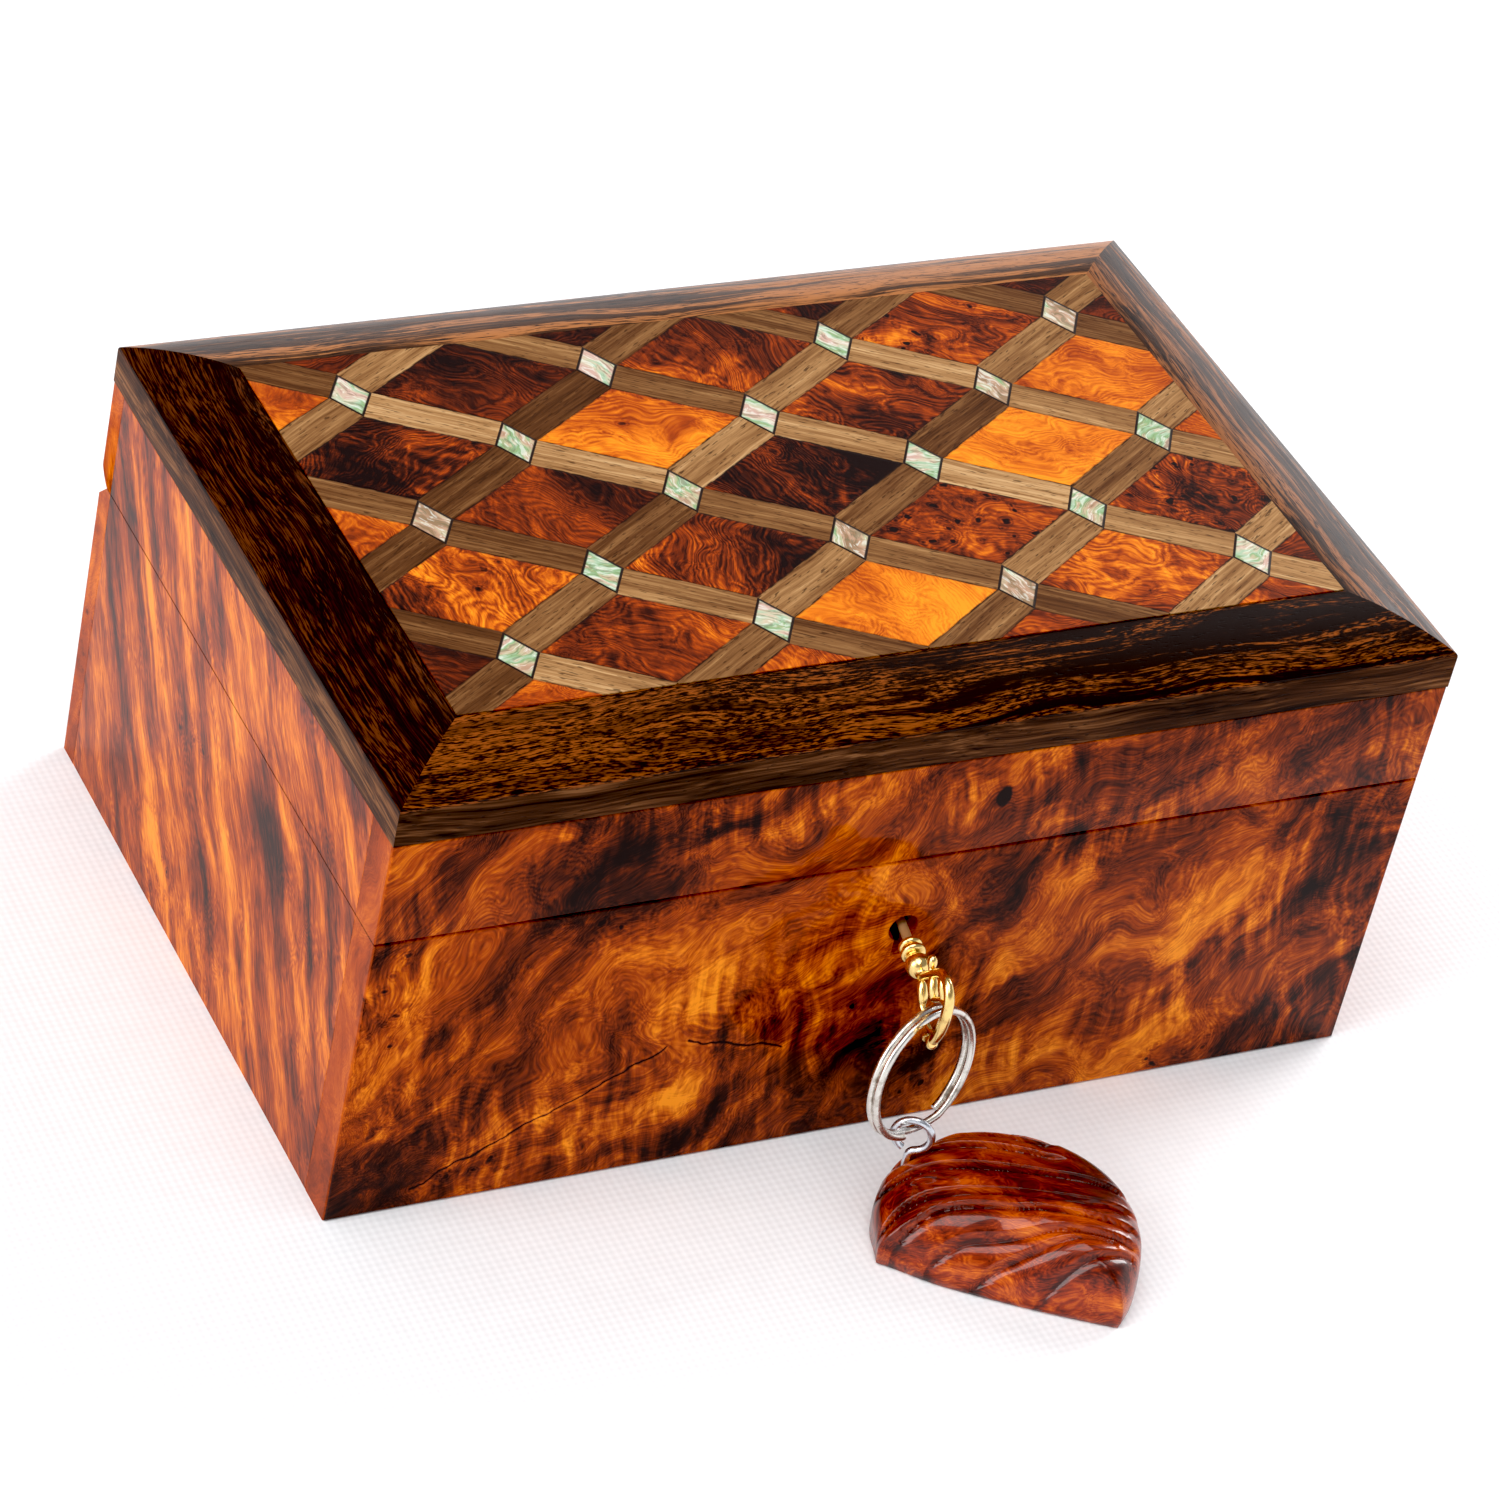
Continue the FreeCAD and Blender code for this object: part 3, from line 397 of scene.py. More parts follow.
@dataclass(frozen=True)
class RailLook:
    """One rail's wood: the light streaks' colour, their share, how short they are, and 1 for black veins."""

    light: Colour
    fill: float
    dash: float = 0.12
    veined: float = 0.0


@dataclass(frozen=True)
class FrameWood:
    """Near-black streaked walnut of the lid's mitred frame, with a browner edge band."""

    name: str
    along_x: bool
    look: RailLook
    dark: Colour = (0.0075, 0.0024, 0.0012)
    pore: Colour = (0.006, 0.003, 0.002)
    edge_top: float = 88.7
    edge_soft: float = 0.12
    band_coat: float = 0.10
    lacquer: Lacquer = Lacquer(coat=0.30, coat_roughness=0.10)

    def material(self) -> bpy.types.Material:
        """Make the material."""
        recipe = Recipe(self.name)
        place = recipe.place()
        side, _, height = recipe.split(place)
        spot = place if self.along_x else recipe.turned(place, math.pi / 2, Z_AXIS)
        wavy = recipe.drift(recipe.stretched(spot, (0.4, 1.0, 1.0)), 1 / 22.0, 10.0, 2.0)
        zebra = recipe.noise(recipe.stretched(wavy, (0.045, 1.0, 0.7)), 1 / 1.5, 3.0, 0.55, 0.3)
        patches = recipe.streaks(spot, 0.5, 26.0, 2.0)
        dashes = recipe.streaks(wavy, self.look.dash, 0.25, 2.0)
        fibres = recipe.streaks(wavy, 0.05, 0.5, 2.0, 0.6)
        share = (dashes + (fibres - 0.5) * 0.5 + (patches - 0.5) * 0.3 + self.look.fill - 0.5).step(0.42, 0.64)
        veined = self.look.veined
        veins = (side.step(-70.0, 10.0) - 0.5) * 0.5 * veined + 0.85 - 0.12 * veined
        share = share * ((zebra + (patches - 0.5) * 0.4).step(0.43, 0.55) * veins + 0.98 - veins)
        crown = recipe.mixed(share, self.dark, self.look.light)
        band_tone = (zebra - 0.5) * 1.7 + (fibres - 0.5) * 1.7 + (patches - 0.5) * 1.0 + 0.42
        band = recipe.ramp(band_tone, ((0.0, (0.006, 0.002, 0.0010)), (0.45, (0.046, 0.015, 0.005)),
                                       (0.75, (0.115, 0.042, 0.014)), (1.0, (0.21, 0.088, 0.032))))
        on_top = height.step(self.edge_top - self.edge_soft, self.edge_top + self.edge_soft)
        pores = recipe.streaks(spot, 0.2, 0.4, 2.0, 0.5)
        colour = recipe.mixed(pores.step(0.38, 0.30) * 0.7, recipe.mixed(on_top, band, crown), self.pore)
        coat = on_top * (self.lacquer.coat - self.band_coat) + self.band_coat
        return recipe.surface({"Base Color": colour, "Roughness": 0.42,
                               "Normal": recipe.bump(pores.step(0.26, 0.42), 0.05, 0.6), **self.lacquer.sockets(),
                               "Coat Weight": coat})


@dataclass(frozen=True)
class PlainWood:
    """Satin plain wood inside the box and under the inlay."""

    name: str = "plain_wood"

    def material(self) -> bpy.types.Material:
        """Make the material."""
        recipe = Recipe(self.name)
        place = recipe.place()
        wavy = recipe.drift(place, 1 / 40.0, 8.0, 2.0)
        bands = recipe.streaks(wavy, 0.04, 3.0, 4.0, 0.6)
        fibres = recipe.streaks(wavy, 0.03, 0.6, 2.0, 0.6)
        tone = (bands - 0.5) * 1.6 + (fibres - 0.5) * 0.7 + 0.5
        colour = recipe.ramp(tone, ((0.0, (0.20, 0.080, 0.024)), (0.5, (0.42, 0.20, 0.070)),
                                    (1.0, (0.60, 0.33, 0.13))))
        return recipe.surface({"Base Color": colour, "Roughness": 0.55, "Coat Weight": 0.12, "Coat Roughness": 0.3,
                               "Normal": recipe.bump(fibres, 0.04, 0.5)})


@dataclass(frozen=True)
class Lattice:
    """The inlay's layout in millimetres: its repeats, the half sizes of a shell, and its shift along X."""

    pitch: float = 46.9
    row_step: float = 18.4
    half_x: float = 4.05
    half_y: float = 6.35
    shift_x: float = 2.2

    @property
    def run(self) -> tuple[float, float]:
        """Half the width and half the depth of a burl cell."""
        return self.pitch / 2 - self.half_x, self.row_step - self.half_y

    def row_y(self, number: int) -> float:
        """The centre line of a row of shell, counted from the back; 0 and 6 are beyond the panel."""
        inner = min(max(number, 1), 5)
        low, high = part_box(f"pearl_row_{inner}")
        middle = (low[1] + high[1]) / 2 / MM
        if number == inner:
            return middle
        return middle + (self.row_step if number < 1 else -self.row_step)

    def first_x(self, number: int) -> float:
        """The X of one shell rhombus in a row; the others are whole pitches away."""
        return self.shift_x + (self.pitch / 2 if number % 2 == 1 else 0.0)


def inside(across: tuple[Wire, Wire], half: tuple[float, float]) -> Wire:
    """How far inside a rhombus a point is, from its distances to the middle and the rhombus's half sizes."""
    return (1.0 - across[0] / half[0] - across[1] / half[1]) * (half[0] * half[1] / math.hypot(*half))


@dataclass(frozen=True)
class CellLook:
    """One burl cell: its lightness, its contrast and how many eyes it has, each 0 to 1."""

    light: float
    contrast: float = 0.5
    eyes: float = 0.35


@dataclass(frozen=True)
class BurlCells:
    """A row of burl cells, each cut from its own leaf of veneer."""

    row: int
    looks: tuple[CellLook, ...]
    lattice: Lattice = Lattice()
    lacquer: Lacquer = Lacquer(coat=0.55, coat_roughness=0.10)
    glue_and_gap_shade: Colour = (0.012, 0.004, 0.002)
    figure: Figure = Figure(swirl=30.0, push=30.0, flame=9.0, along=0.22, contrast=1.0, cross=0.8, normal=Z_AXIS,
                            lines=230.0, growth=0.085)

    def material(self) -> bpy.types.Material:
        """Make the material."""
        recipe = Recipe(f"burl_cells_{self.row}")
        place = recipe.place()
        x, y, _ = recipe.split(place)
        lattice = self.lattice
        along = (x - lattice.first_x(self.row)) / lattice.pitch
        count = len(self.looks)
        cell = along.floor()
        look = recipe.ramp((cell + (3.5 if count == 5 else 2.5)) / count,
                           [(max(0.0, number / count - 0.001 if number else 0.0),
                             (item.light, item.contrast, item.eyes)) for number, item in enumerate(self.looks)],
                           "CONSTANT")
        light, contrast, eyes = recipe.split(look)
        seed = cell + self.row * 11.0
        angle = recipe.chance(seed) * 2.6 - 0.4
        offset = recipe.scaled(recipe.joined(recipe.chance(seed + 0.3), recipe.chance(seed + 0.6), 0.0), 900.0)
        spot = recipe.shifted(recipe.turned(place, angle, Z_AXIS), offset)
        tone, relief = self.figure.draw(recipe, spot, 0.0, eyes)
        tone = (tone - EVEN_TONE) * (contrast * 1.05 + 0.42) + light
        colour = recipe.ramp(tone, BURL_PALETTE)
        dx = abs((along.part() - 0.5) * lattice.pitch)
        dy = abs(y - lattice.row_y(self.row))
        edge = inside((dx, dy), lattice.run)
        worn = recipe.noise(place, 1 / 3.0, 2.0) * 0.5
        colour = recipe.mixed(edge.step(0.38, 0.02) * worn.step(0.12, 0.34), colour, self.glue_and_gap_shade)
        height = relief * 0.2 + edge.step(0.0, 0.5) * 0.8
        return recipe.surface({"Base Color": colour, "Roughness": 0.40, "Normal": recipe.bump(height, 0.05, 0.5),
                               **self.lacquer.sockets()})


@dataclass(frozen=True)
class WalnutStrips:
    """A band of slanting walnut strips, grain along each strip."""

    row: int
    lattice: Lattice = Lattice()
    lacquer: Lacquer = Lacquer(coat=0.32, coat_roughness=0.12)
    glue_and_gap_shade: Colour = (0.014, 0.006, 0.003)

    def material(self) -> bpy.types.Material:
        """Make the material; row is the row of shell above the band, 0 for the band at the back."""
        recipe = Recipe(f"walnut_strips_{self.row}")
        place = recipe.place()
        x, y, _ = recipe.split(place)
        lattice = self.lattice
        turns = (x - lattice.first_x(self.row)) / lattice.pitch
        side = abs(((turns + 0.5).part() - 0.5) * lattice.pitch)
        down = lattice.row_y(self.row) - y
        run_x, run_y = lattice.run
        length = math.hypot(run_x, run_y)
        strip = (turns * 2.0).floor()
        seed = strip + self.row * 17.0
        along = (side * run_x + down * run_y) / length
        across = (down * run_x - (side - lattice.half_x) * run_y) / length
        width = (lattice.half_y * run_x + lattice.half_x * run_y) / length
        spot = recipe.joined(along + recipe.chance(seed) * 300.0, across + recipe.chance(seed + 0.4) * 70.0,
                             recipe.chance(seed + 0.7) * 40.0)
        wavy = recipe.drift(recipe.stretched(spot, (0.3, 1.0, 1.0)), 1 / 9.0, 2.4, 2.0)
        bands = recipe.streaks(wavy, 0.10, 1.9, 4.0, 0.6)
        fibres = recipe.streaks(wavy, 0.10, 0.45, 3.0, 0.6)
        pores = recipe.streaks(spot, 0.16, 0.38, 1.0, 0.5)
        # Painted shade: the strips that lean one way are drawn a little darker, for their grain catching less
        # light.
        leaning = (turns + 100.0).part().step(0.49, 0.51)
        tone = ((bands - 0.5) * 1.0 + (fibres - 0.5) * 0.9 + (recipe.chance(seed + 0.2) - 0.5) * 0.55 + 0.56
                - leaning * 0.10)
        colour = recipe.ramp(tone, ((0.0, (0.036, 0.011, 0.003)), (0.3, (0.098, 0.036, 0.011)),
                                    (0.55, (0.20, 0.090, 0.031)), (0.8, (0.35, 0.185, 0.072)),
                                    (1.0, (0.52, 0.32, 0.15))))
        colour = recipe.mixed(pores.step(0.39, 0.29) * 0.75, colour, (0.035, 0.012, 0.004))
        edge = across.least(width - across)
        worn = recipe.noise(place, 1 / 4.0, 2.0)
        colour = recipe.mixed(edge.step(0.34, 0.04) * worn.step(0.42, 0.58), colour, self.glue_and_gap_shade)
        height = pores.step(0.27, 0.4) * 0.25 + edge.step(0.0, 0.5) * 0.75
        return recipe.surface({"Base Color": colour, "Roughness": 0.42, "Normal": recipe.bump(height, 0.05, 0.5),
                               **self.lacquer.sockets()})


@dataclass(frozen=True)
class Shell:
    """Rhombi of mother-of-pearl: each its own mix of pink, green and white, in fine curved layers."""

    row: int
    lattice: Lattice = Lattice()
    glue_and_gap_shade: Colour = (0.014, 0.005, 0.002)

    def material(self) -> bpy.types.Material:
        """Make the material."""
        recipe = Recipe(f"mother_of_pearl_{self.row}")
        place = recipe.place()
        x, y, _ = recipe.split(place)
        lattice = self.lattice
        turns = (x - lattice.first_x(self.row)) / lattice.pitch + 0.5
        seed = turns.floor() + self.row * 23.0
        dx = abs((turns.part() - 0.5) * lattice.pitch)
        dy = abs(y - lattice.row_y(self.row))
        spot = recipe.shifted(recipe.turned(place, recipe.chance(seed) * 3.1, Z_AXIS),
                              recipe.scaled(recipe.joined(recipe.chance(seed + 0.5), 0.0, 0.0), 300.0))
        wavy = recipe.drift(spot, 1 / 7.0, 6.0, 2.0)
        layers = recipe.streaks(wavy, 0.30, 2.4, 2.0, 0.5)
        glints = recipe.streaks(wavy, 0.10, 0.62, 2.0, 0.6)
        plain = (recipe.chance(seed + 0.8) - 0.5) * 0.7
        hue = (layers - 0.5) * 2.0 + 0.5 + plain
        colour = recipe.ramp(hue, ((0.0, (0.28, 0.17, 0.09)), (0.2, (0.48, 0.29, 0.19)),
                                   (0.4, (0.50, 0.43, 0.27)), (0.55, (0.22, 0.36, 0.16)),
                                   (0.68, (0.36, 0.50, 0.34)), (0.84, (0.58, 0.50, 0.35)),
                                   (1.0, (0.56, 0.36, 0.29))))
        colour = recipe.mixed(glints.step(0.53, 0.63) * 0.55, colour, (0.84, 0.86, 0.76))
        colour = recipe.mixed(glints.step(0.46, 0.36) * 0.6, colour, (0.13, 0.13, 0.07))
        edge = inside((dx, dy), (lattice.half_x, lattice.half_y))
        colour = recipe.mixed(edge.step(0.60, 0.36), colour, self.glue_and_gap_shade)
        height = layers * 0.4 + edge.step(0.0, 0.5) * 0.6
        return recipe.surface({"Base Color": colour, "Roughness": 0.28, "Metallic": glints.step(0.3, 0.8) * 0.25,
                               "Coat Weight": 0.3, "Coat Roughness": 0.08, "Specular IOR Level": 0.3,
                               "Normal": recipe.bump(height, 0.06, 0.6)})


class Metal(Enum):
    """The metals: colour, roughness and tarnish colour."""

    KEY_BRASS = ((0.92, 0.66, 0.26), 0.13, (0.30, 0.15, 0.04))
    HINGE_BRASS = ((0.78, 0.56, 0.24), 0.30, (0.26, 0.15, 0.06))
    RING_NICKEL = ((0.70, 0.67, 0.62), 0.20, (0.20, 0.14, 0.085))
    EYE_STEEL = ((0.66, 0.69, 0.74), 0.18, (0.22, 0.23, 0.26))
    LOCK_STEEL = ((0.52, 0.52, 0.51), 0.34, (0.16, 0.13, 0.10))


@dataclass(frozen=True)
class MetalFinish:
    """A worn, polished metal with tarnish and fine scratches, dull behind one Y, which is in millimetres."""

    metal: Metal
    tarnish: float = 0.4
    dull_behind: float = 1000.0
    dull: Colour = (0.60, 0.32, 0.14)

    def material(self) -> bpy.types.Material:
        """Make the material."""
        colour, roughness, stain = self.metal.value
        recipe = Recipe(self.metal.name.lower())
        place = recipe.place()
        patches = recipe.noise(place, 1 / 2.6, 4.0, 0.6)
        scratches = recipe.noise(recipe.stretched(place, (1.0, 0.12, 1.0)), 1 / 0.22, 2.0, 0.6)
        base = recipe.mixed(patches.step(0.50, 0.74) * self.tarnish, colour, stain)
        rough = patches.step(0.35, 0.75) * 0.16 + (scratches - 0.5) * 0.10 + roughness
        _, depth, _ = recipe.split(place)
        dull = depth.step(self.dull_behind - 0.2, self.dull_behind + 0.2)
        base = recipe.mixed(dull, base, self.dull)
        return recipe.surface({"Base Color": base, "Metallic": 1.0 - dull * 0.6, "Roughness": rough + dull * 0.3,
                               "Normal": recipe.bump(scratches, 0.012, 0.35)})


# ------------------------------------------------------------------ making pieces

def edge_angle(edge: bmesh.types.BMEdge) -> float:
    """The fold at an edge between two faces, in radians; 0 at an open edge."""
    return edge.calc_face_angle(0.0) if len(edge.link_faces) == 2 else 0.0


def settle(shape: bmesh.types.BMesh, name: str, body: str, finish: bpy.types.Material,
           stands_for: Sequence[str] = (), smooth: float = 35.0) -> bpy.types.Object:
    """Turn a finished bmesh into a piece that rides on its body.

    Args:
        shape: the geometry, in the row frame.
        name: the piece's name.
        body: the CAD body it moves with.
        finish: its material.
        stands_for: the CAD nodes it replaces.
        smooth: folds over this many degrees stay sharp.

    Returns:
        The new object.
    """
    mesh = bpy.data.meshes.new(name)
    shape.to_mesh(mesh)
    shape.free()
    mesh.polygons.foreach_set("use_smooth", [True] * len(mesh.polygons))
    mesh.set_sharp_from_angle(angle=math.radians(smooth))
    piece = bpy.data.objects.new(name, mesh)
    bpy.context.scene.collection.objects.link(piece)
    mesh.materials.append(finish)
    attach(piece, body)
    if stands_for:
        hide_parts(*stands_for)
    LOG.info("%s: %d faces on %s", name, len(mesh.polygons), body)
    return piece


def dress(node: str, finish: bpy.types.Material) -> None:
    """Give a CAD node its finish."""
    slots = frame["nodes"][node].data.materials
    slots.clear()
    slots.append(finish)
    LOG.info("%s: dressed in %s", node, finish.name)


def eased_copy(node: str, arris: float, seam: float) -> bmesh.types.BMesh:
    """A copy of a CAD node with its sharp edges eased.

    Args:
        node: the node to copy.
        arris: the width of the rounding on the box's four upright outside edges, in metres.
        seam: the width on all other sharp edges.

    Returns:
        The merged and bevelled shape.
    """
    shape = bmesh.new()
    shape.from_mesh(frame["nodes"][node].data)
    bmesh.ops.remove_doubles(shape, verts=shape.verts, dist=WELD)
    bmesh.ops.dissolve_limit(shape, angle_limit=math.radians(1.0), verts=shape.verts, edges=shape.edges)
    half_x = max(abs(corner[0]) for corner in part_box("front_wall"))
    front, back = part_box("front_wall")[0][1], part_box("back_wall")[1][1]
    near = 0.01 * MM

    def on_corner(vert: bmesh.types.BMVert) -> bool:
        """Whether a point lies on an upright outside edge of the box."""
        at_end = abs(abs(vert.co.x) - half_x) < near
        return at_end and min(abs(vert.co.y - front), abs(vert.co.y - back)) < near

    sharp = [edge for edge in shape.edges if edge_angle(edge) > math.radians(50)]
    corners = [edge for edge in sharp if all(on_corner(vert) for vert in edge.verts)]
    others = [edge for edge in sharp if edge not in set(corners)]
    for edges, width, segments in ((corners, arris, 3), (others, seam, 1)):
        alive = [edge for edge in edges if edge.is_valid]
        if alive:
            bmesh.ops.bevel(shape, geom=alive, offset=width, offset_type="OFFSET", affect="EDGES",
                            segments=segments, profile=0.5, material=-1, clamp_overlap=True)
    return shape


def turned_solid(profile: Iterable[tuple[float, float]], place: Matrix, steps: int = 40) -> bmesh.types.BMesh:
    """A solid of revolution about local X.

    Args:
        profile: (along, radius) points from one end to the other, both ends on the axis.
        place: where the local frame lies.
        steps: how many sides it has.

    Returns:
        The closed shape.
    """
    shape = bmesh.new()
    points = [shape.verts.new((along, radius, 0.0)) for along, radius in profile]
    edges = [shape.edges.new(pair) for pair in zip(points, points[1:])]
    bmesh.ops.spin(shape, geom=points + edges, cent=(0, 0, 0), axis=(1, 0, 0), angle=2 * math.pi, steps=steps,
                   use_merge=True)
    bmesh.ops.remove_doubles(shape, verts=shape.verts, dist=WELD)
    bmesh.ops.recalc_face_normals(shape, faces=shape.faces)
    bmesh.ops.transform(shape, matrix=place, verts=shape.verts)
    return shape


def add_to(shape: bmesh.types.BMesh, other: bmesh.types.BMesh) -> None:
    """Move one shape's geometry into another."""
    spare = bpy.data.meshes.new("spare")
    other.to_mesh(spare)
    other.free()
    shape.from_mesh(spare)
    bpy.data.meshes.remove(spare)


def bent_rod(points: Sequence[Sequence[float]], radii: Sequence[float], place: Matrix,
             sides: int = 3) -> bmesh.types.BMesh:
    """A rod of changing thickness along a smooth line.

    Args:
        points: the line's points, in the local frame, in metres.
        radii: the thickness at each point, in metres.
        place: where the local frame lies.
        sides: the fineness of the round section.

    Returns:
        The closed shape.
    """
    line = bpy.data.curves.new("rod_line", "CURVE")
    line.dimensions = "3D"
    line.bevel_depth = 1.0
    line.bevel_resolution = sides
    line.use_fill_caps = True
    spline = line.splines.new("NURBS")
    spline.points.add(len(points) - 1)
    for point, at, radius in zip(spline.points, points, radii):
        point.co = (*at, 1.0)
        point.radius = radius
    spline.order_u = 3
    spline.use_endpoint_u = True
    spline.resolution_u = 6
    holder = bpy.data.objects.new("rod_line", line)
    mesh = bpy.data.meshes.new_from_object(holder)
    shape = bmesh.new()
    shape.from_mesh(mesh)
    bpy.data.objects.remove(holder)
    bpy.data.curves.remove(line)
    bpy.data.meshes.remove(mesh)
    bmesh.ops.remove_doubles(shape, verts=shape.verts, dist=WELD)
    bmesh.ops.recalc_face_normals(shape, faces=shape.faces)
    bmesh.ops.transform(shape, matrix=place, verts=shape.verts)
    return shape


def bead(centre: Sequence[float], radius: float, place: Matrix, stretch: Sequence[float] = (1, 1, 1),
         lean: float = 0.0) -> bmesh.types.BMesh:
    """A small ball or egg, stretched and then leaned in the local XY plane."""
    shape = bmesh.new()
    bmesh.ops.create_icosphere(shape, subdivisions=3, radius=radius)
    local = (Matrix.Translation(Vector(centre)) @ Matrix.Rotation(lean, 4, "Z")
             @ Matrix.Diagonal((*stretch, 1.0)))
    bmesh.ops.transform(shape, matrix=place @ local, verts=shape.verts)
    return shape


def joint(name: str) -> dict:
    """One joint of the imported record."""
    return next(item for item in frame["joints"] if item["name"] == name)


# ------------------------------------------------------------------ sub-assemblies

@dataclass
class Carcass:
    """The box body and the lid's walls, in thuya burl."""

    arris: float = 0.55 * MM
    seam: float = 0.10 * MM

    def build(self) -> None:
        """Make the eased walls and dress what stays."""
        along_side = Figure(swirl=60.0, push=17.0, flame=5.6, along=0.10, contrast=1.85, blotch=1.1, cross=0.4,
                            cross_turn=0.4)
        front = ThuyaBoard("thuya_front", turn=0.62, shift=(70.0, 0.0, 10.0), bias=-0.03, eyes=0.48,
                           marked=True).material()
        side = ThuyaBoard("thuya_side", turn=2.15, normal=X_AXIS, shift=(31.0, 12.0, 44.0), bias=0.11, eyes=0.42,
                          lacquer=Lacquer(coat=0.4), figure=along_side).material()
        back = ThuyaBoard("thuya_back", shift=(400.0, 90.0, 60.0)).material()
        for wall, slot, finish in (("front", "thuya_front", front), ("left", "thuya_side", side),
                                   ("right", "thuya_side", side), ("back", "thuya_back", back)):
            for node, body in ((f"{wall}_wall", "box"), (f"lid_{wall}_wall", "lid")):
                shape = eased_copy(node, self.arris, self.seam)
                settle(shape, f"{node}_board", body, finish, (node,), 30.0)
        plain = PlainWood().material()
        dress("bottom_panel", plain)
        dress("lid_core_board", plain)


@dataclass
class LidFrame:
    """The mitred rails with a crowned top face."""

    steps: int = 14
    crown: float = 0.86
    looks: Mapping[str, RailLook] = field(default_factory=lambda: {
        "front": RailLook((0.24, 0.058, 0.008), 0.48, 0.30, 1.0), "left": RailLook((0.11, 0.026, 0.006), 0.44),
        "back": RailLook((0.36, 0.135, 0.042), 0.64), "right": RailLook((0.24, 0.085, 0.028), 0.60)})

    def build(self) -> None:
        """Make the four rails."""
        low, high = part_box("frame_front_rail")
        front, right = low[1], high[0]
        left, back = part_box("frame_left_rail")[0][0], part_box("frame_back_rail")[1][1]
        for name, angle, half, offset in (("front", 0.0, right, -front), ("right", 90.0, -front, right),
                                          ("back", 180.0, right, back), ("left", 270.0, back, -left)):
            shape = self._rail(half, offset, high[1] - front, low[2], high[2])
            bmesh.ops.rotate(shape, cent=(0, 0, 0), matrix=Matrix.Rotation(math.radians(angle), 3, "Z"),
                             verts=shape.verts)
            finish = FrameWood(f"frame_wood_{name}", name in ("front", "back"), self.looks[name]).material()
            settle(shape, f"{name}_rail_crowned", "lid", finish, (f"frame_{name}_rail",), 28.0)

    def _rail(self, half: float, offset: float, width: float, low: float, high: float) -> bmesh.types.BMesh:
        """One rail along X at the front, mitred at both ends; its upright edge takes 7.0 of its 11.7 mm."""
        edge = low + (high - low) * 7.0 / 11.7
        spare = 1.0 * MM
        shape = bmesh.new()
        profile = [(-offset, low), (-offset, edge - 0.40 * MM), (-offset + 0.06 * MM, edge - 0.12 * MM),
                   (-offset + 0.20 * MM, edge + 0.14 * MM)]
        for number in range(1, self.steps + 1):
            share = number / self.steps
            rise = math.sin(share * math.pi / 2) ** self.crown
            profile.append((-offset + width * share, edge + (high - edge) * rise))
        profile.append((-offset + width, low))
        verts = [shape.verts.new((-half - spare, y, z)) for y, z in profile]
        face = shape.faces.new(verts)
        made = bmesh.ops.extrude_face_region(shape, geom=[face])
        moved = [item for item in made["geom"] if isinstance(item, bmesh.types.BMVert)]
        bmesh.ops.translate(shape, verts=moved, vec=(2 * half + 2 * spare, 0, 0))
        for side in (-1, 1):
            cut = bmesh.ops.bisect_plane(shape, geom=shape.verts[:] + shape.edges[:] + shape.faces[:], dist=1e-7,
                                         plane_co=(side * half, -offset, 0), plane_no=(side, 1, 0),
                                         clear_outer=True)
            loop = [item for item in cut["geom_cut"] if isinstance(item, bmesh.types.BMEdge)]
            bmesh.ops.holes_fill(shape, edges=loop, sides=0)
        bmesh.ops.recalc_face_normals(shape, faces=shape.faces)
        return shape


@dataclass
class Marquetry:
    """The inlaid panel: shell, walnut strips and burl cells."""

    def build(self) -> None:
        """Dress every inlay node by its row."""
        look = CellLook
        rows = {
            1: (look(0.76, 0.3), look(0.24, 0.6), look(0.42, 0.7, 0.5), look(0.34, 0.8, 0.6), look(0.28)),
            2: (look(0.46, 0.9), look(0.74, 0.50, 0.55), look(0.30, 0.9), look(0.74, 0.4)),
            3: (look(0.55, 0.4), look(0.32, 0.5), look(0.14, 0.9, 0.5), look(0.76, 0.4), look(0.62, 0.4)),
            4: (look(0.48, 0.9, 0.5), look(0.40, 0.9), look(0.54, 0.6, 0.85), look(0.46, 0.8, 0.7)),
            5: (look(0.30, 0.4), look(0.44, 0.6), look(0.80, 0.3), look(0.40, 0.9), look(0.36, 0.5)),
        }
        for row, looks in rows.items():
            dress(f"burl_row_{row}", BurlCells(row, looks).material())
            dress(f"pearl_row_{row}", Shell(row).material())
        dress("burl_back", BurlCells(0, (look(0.30), look(0.26), look(0.32), look(0.28))).material())
        dress("burl_front", BurlCells(6, (look(0.66, 0.3), look(0.52), look(0.60), look(0.55))).material())
        for row, node in enumerate(("back", "band_1", "band_2", "band_3", "band_4", "front")):
            dress(f"strips_{node}", WalnutStrips(row).material())


@dataclass
class Hardware:
    """Hinges, lock, strike and screws."""

    def build(self) -> None:
        """Dress the metal nodes."""
        brass = MetalFinish(Metal.HINGE_BRASS).material()
        steel = MetalFinish(Metal.LOCK_STEEL).material()
        for node in frame["nodes"]:
            if "hinge" in node:
                dress(node, brass)
            elif node.startswith(("lock_", "strike_")):
                dress(node, steel)


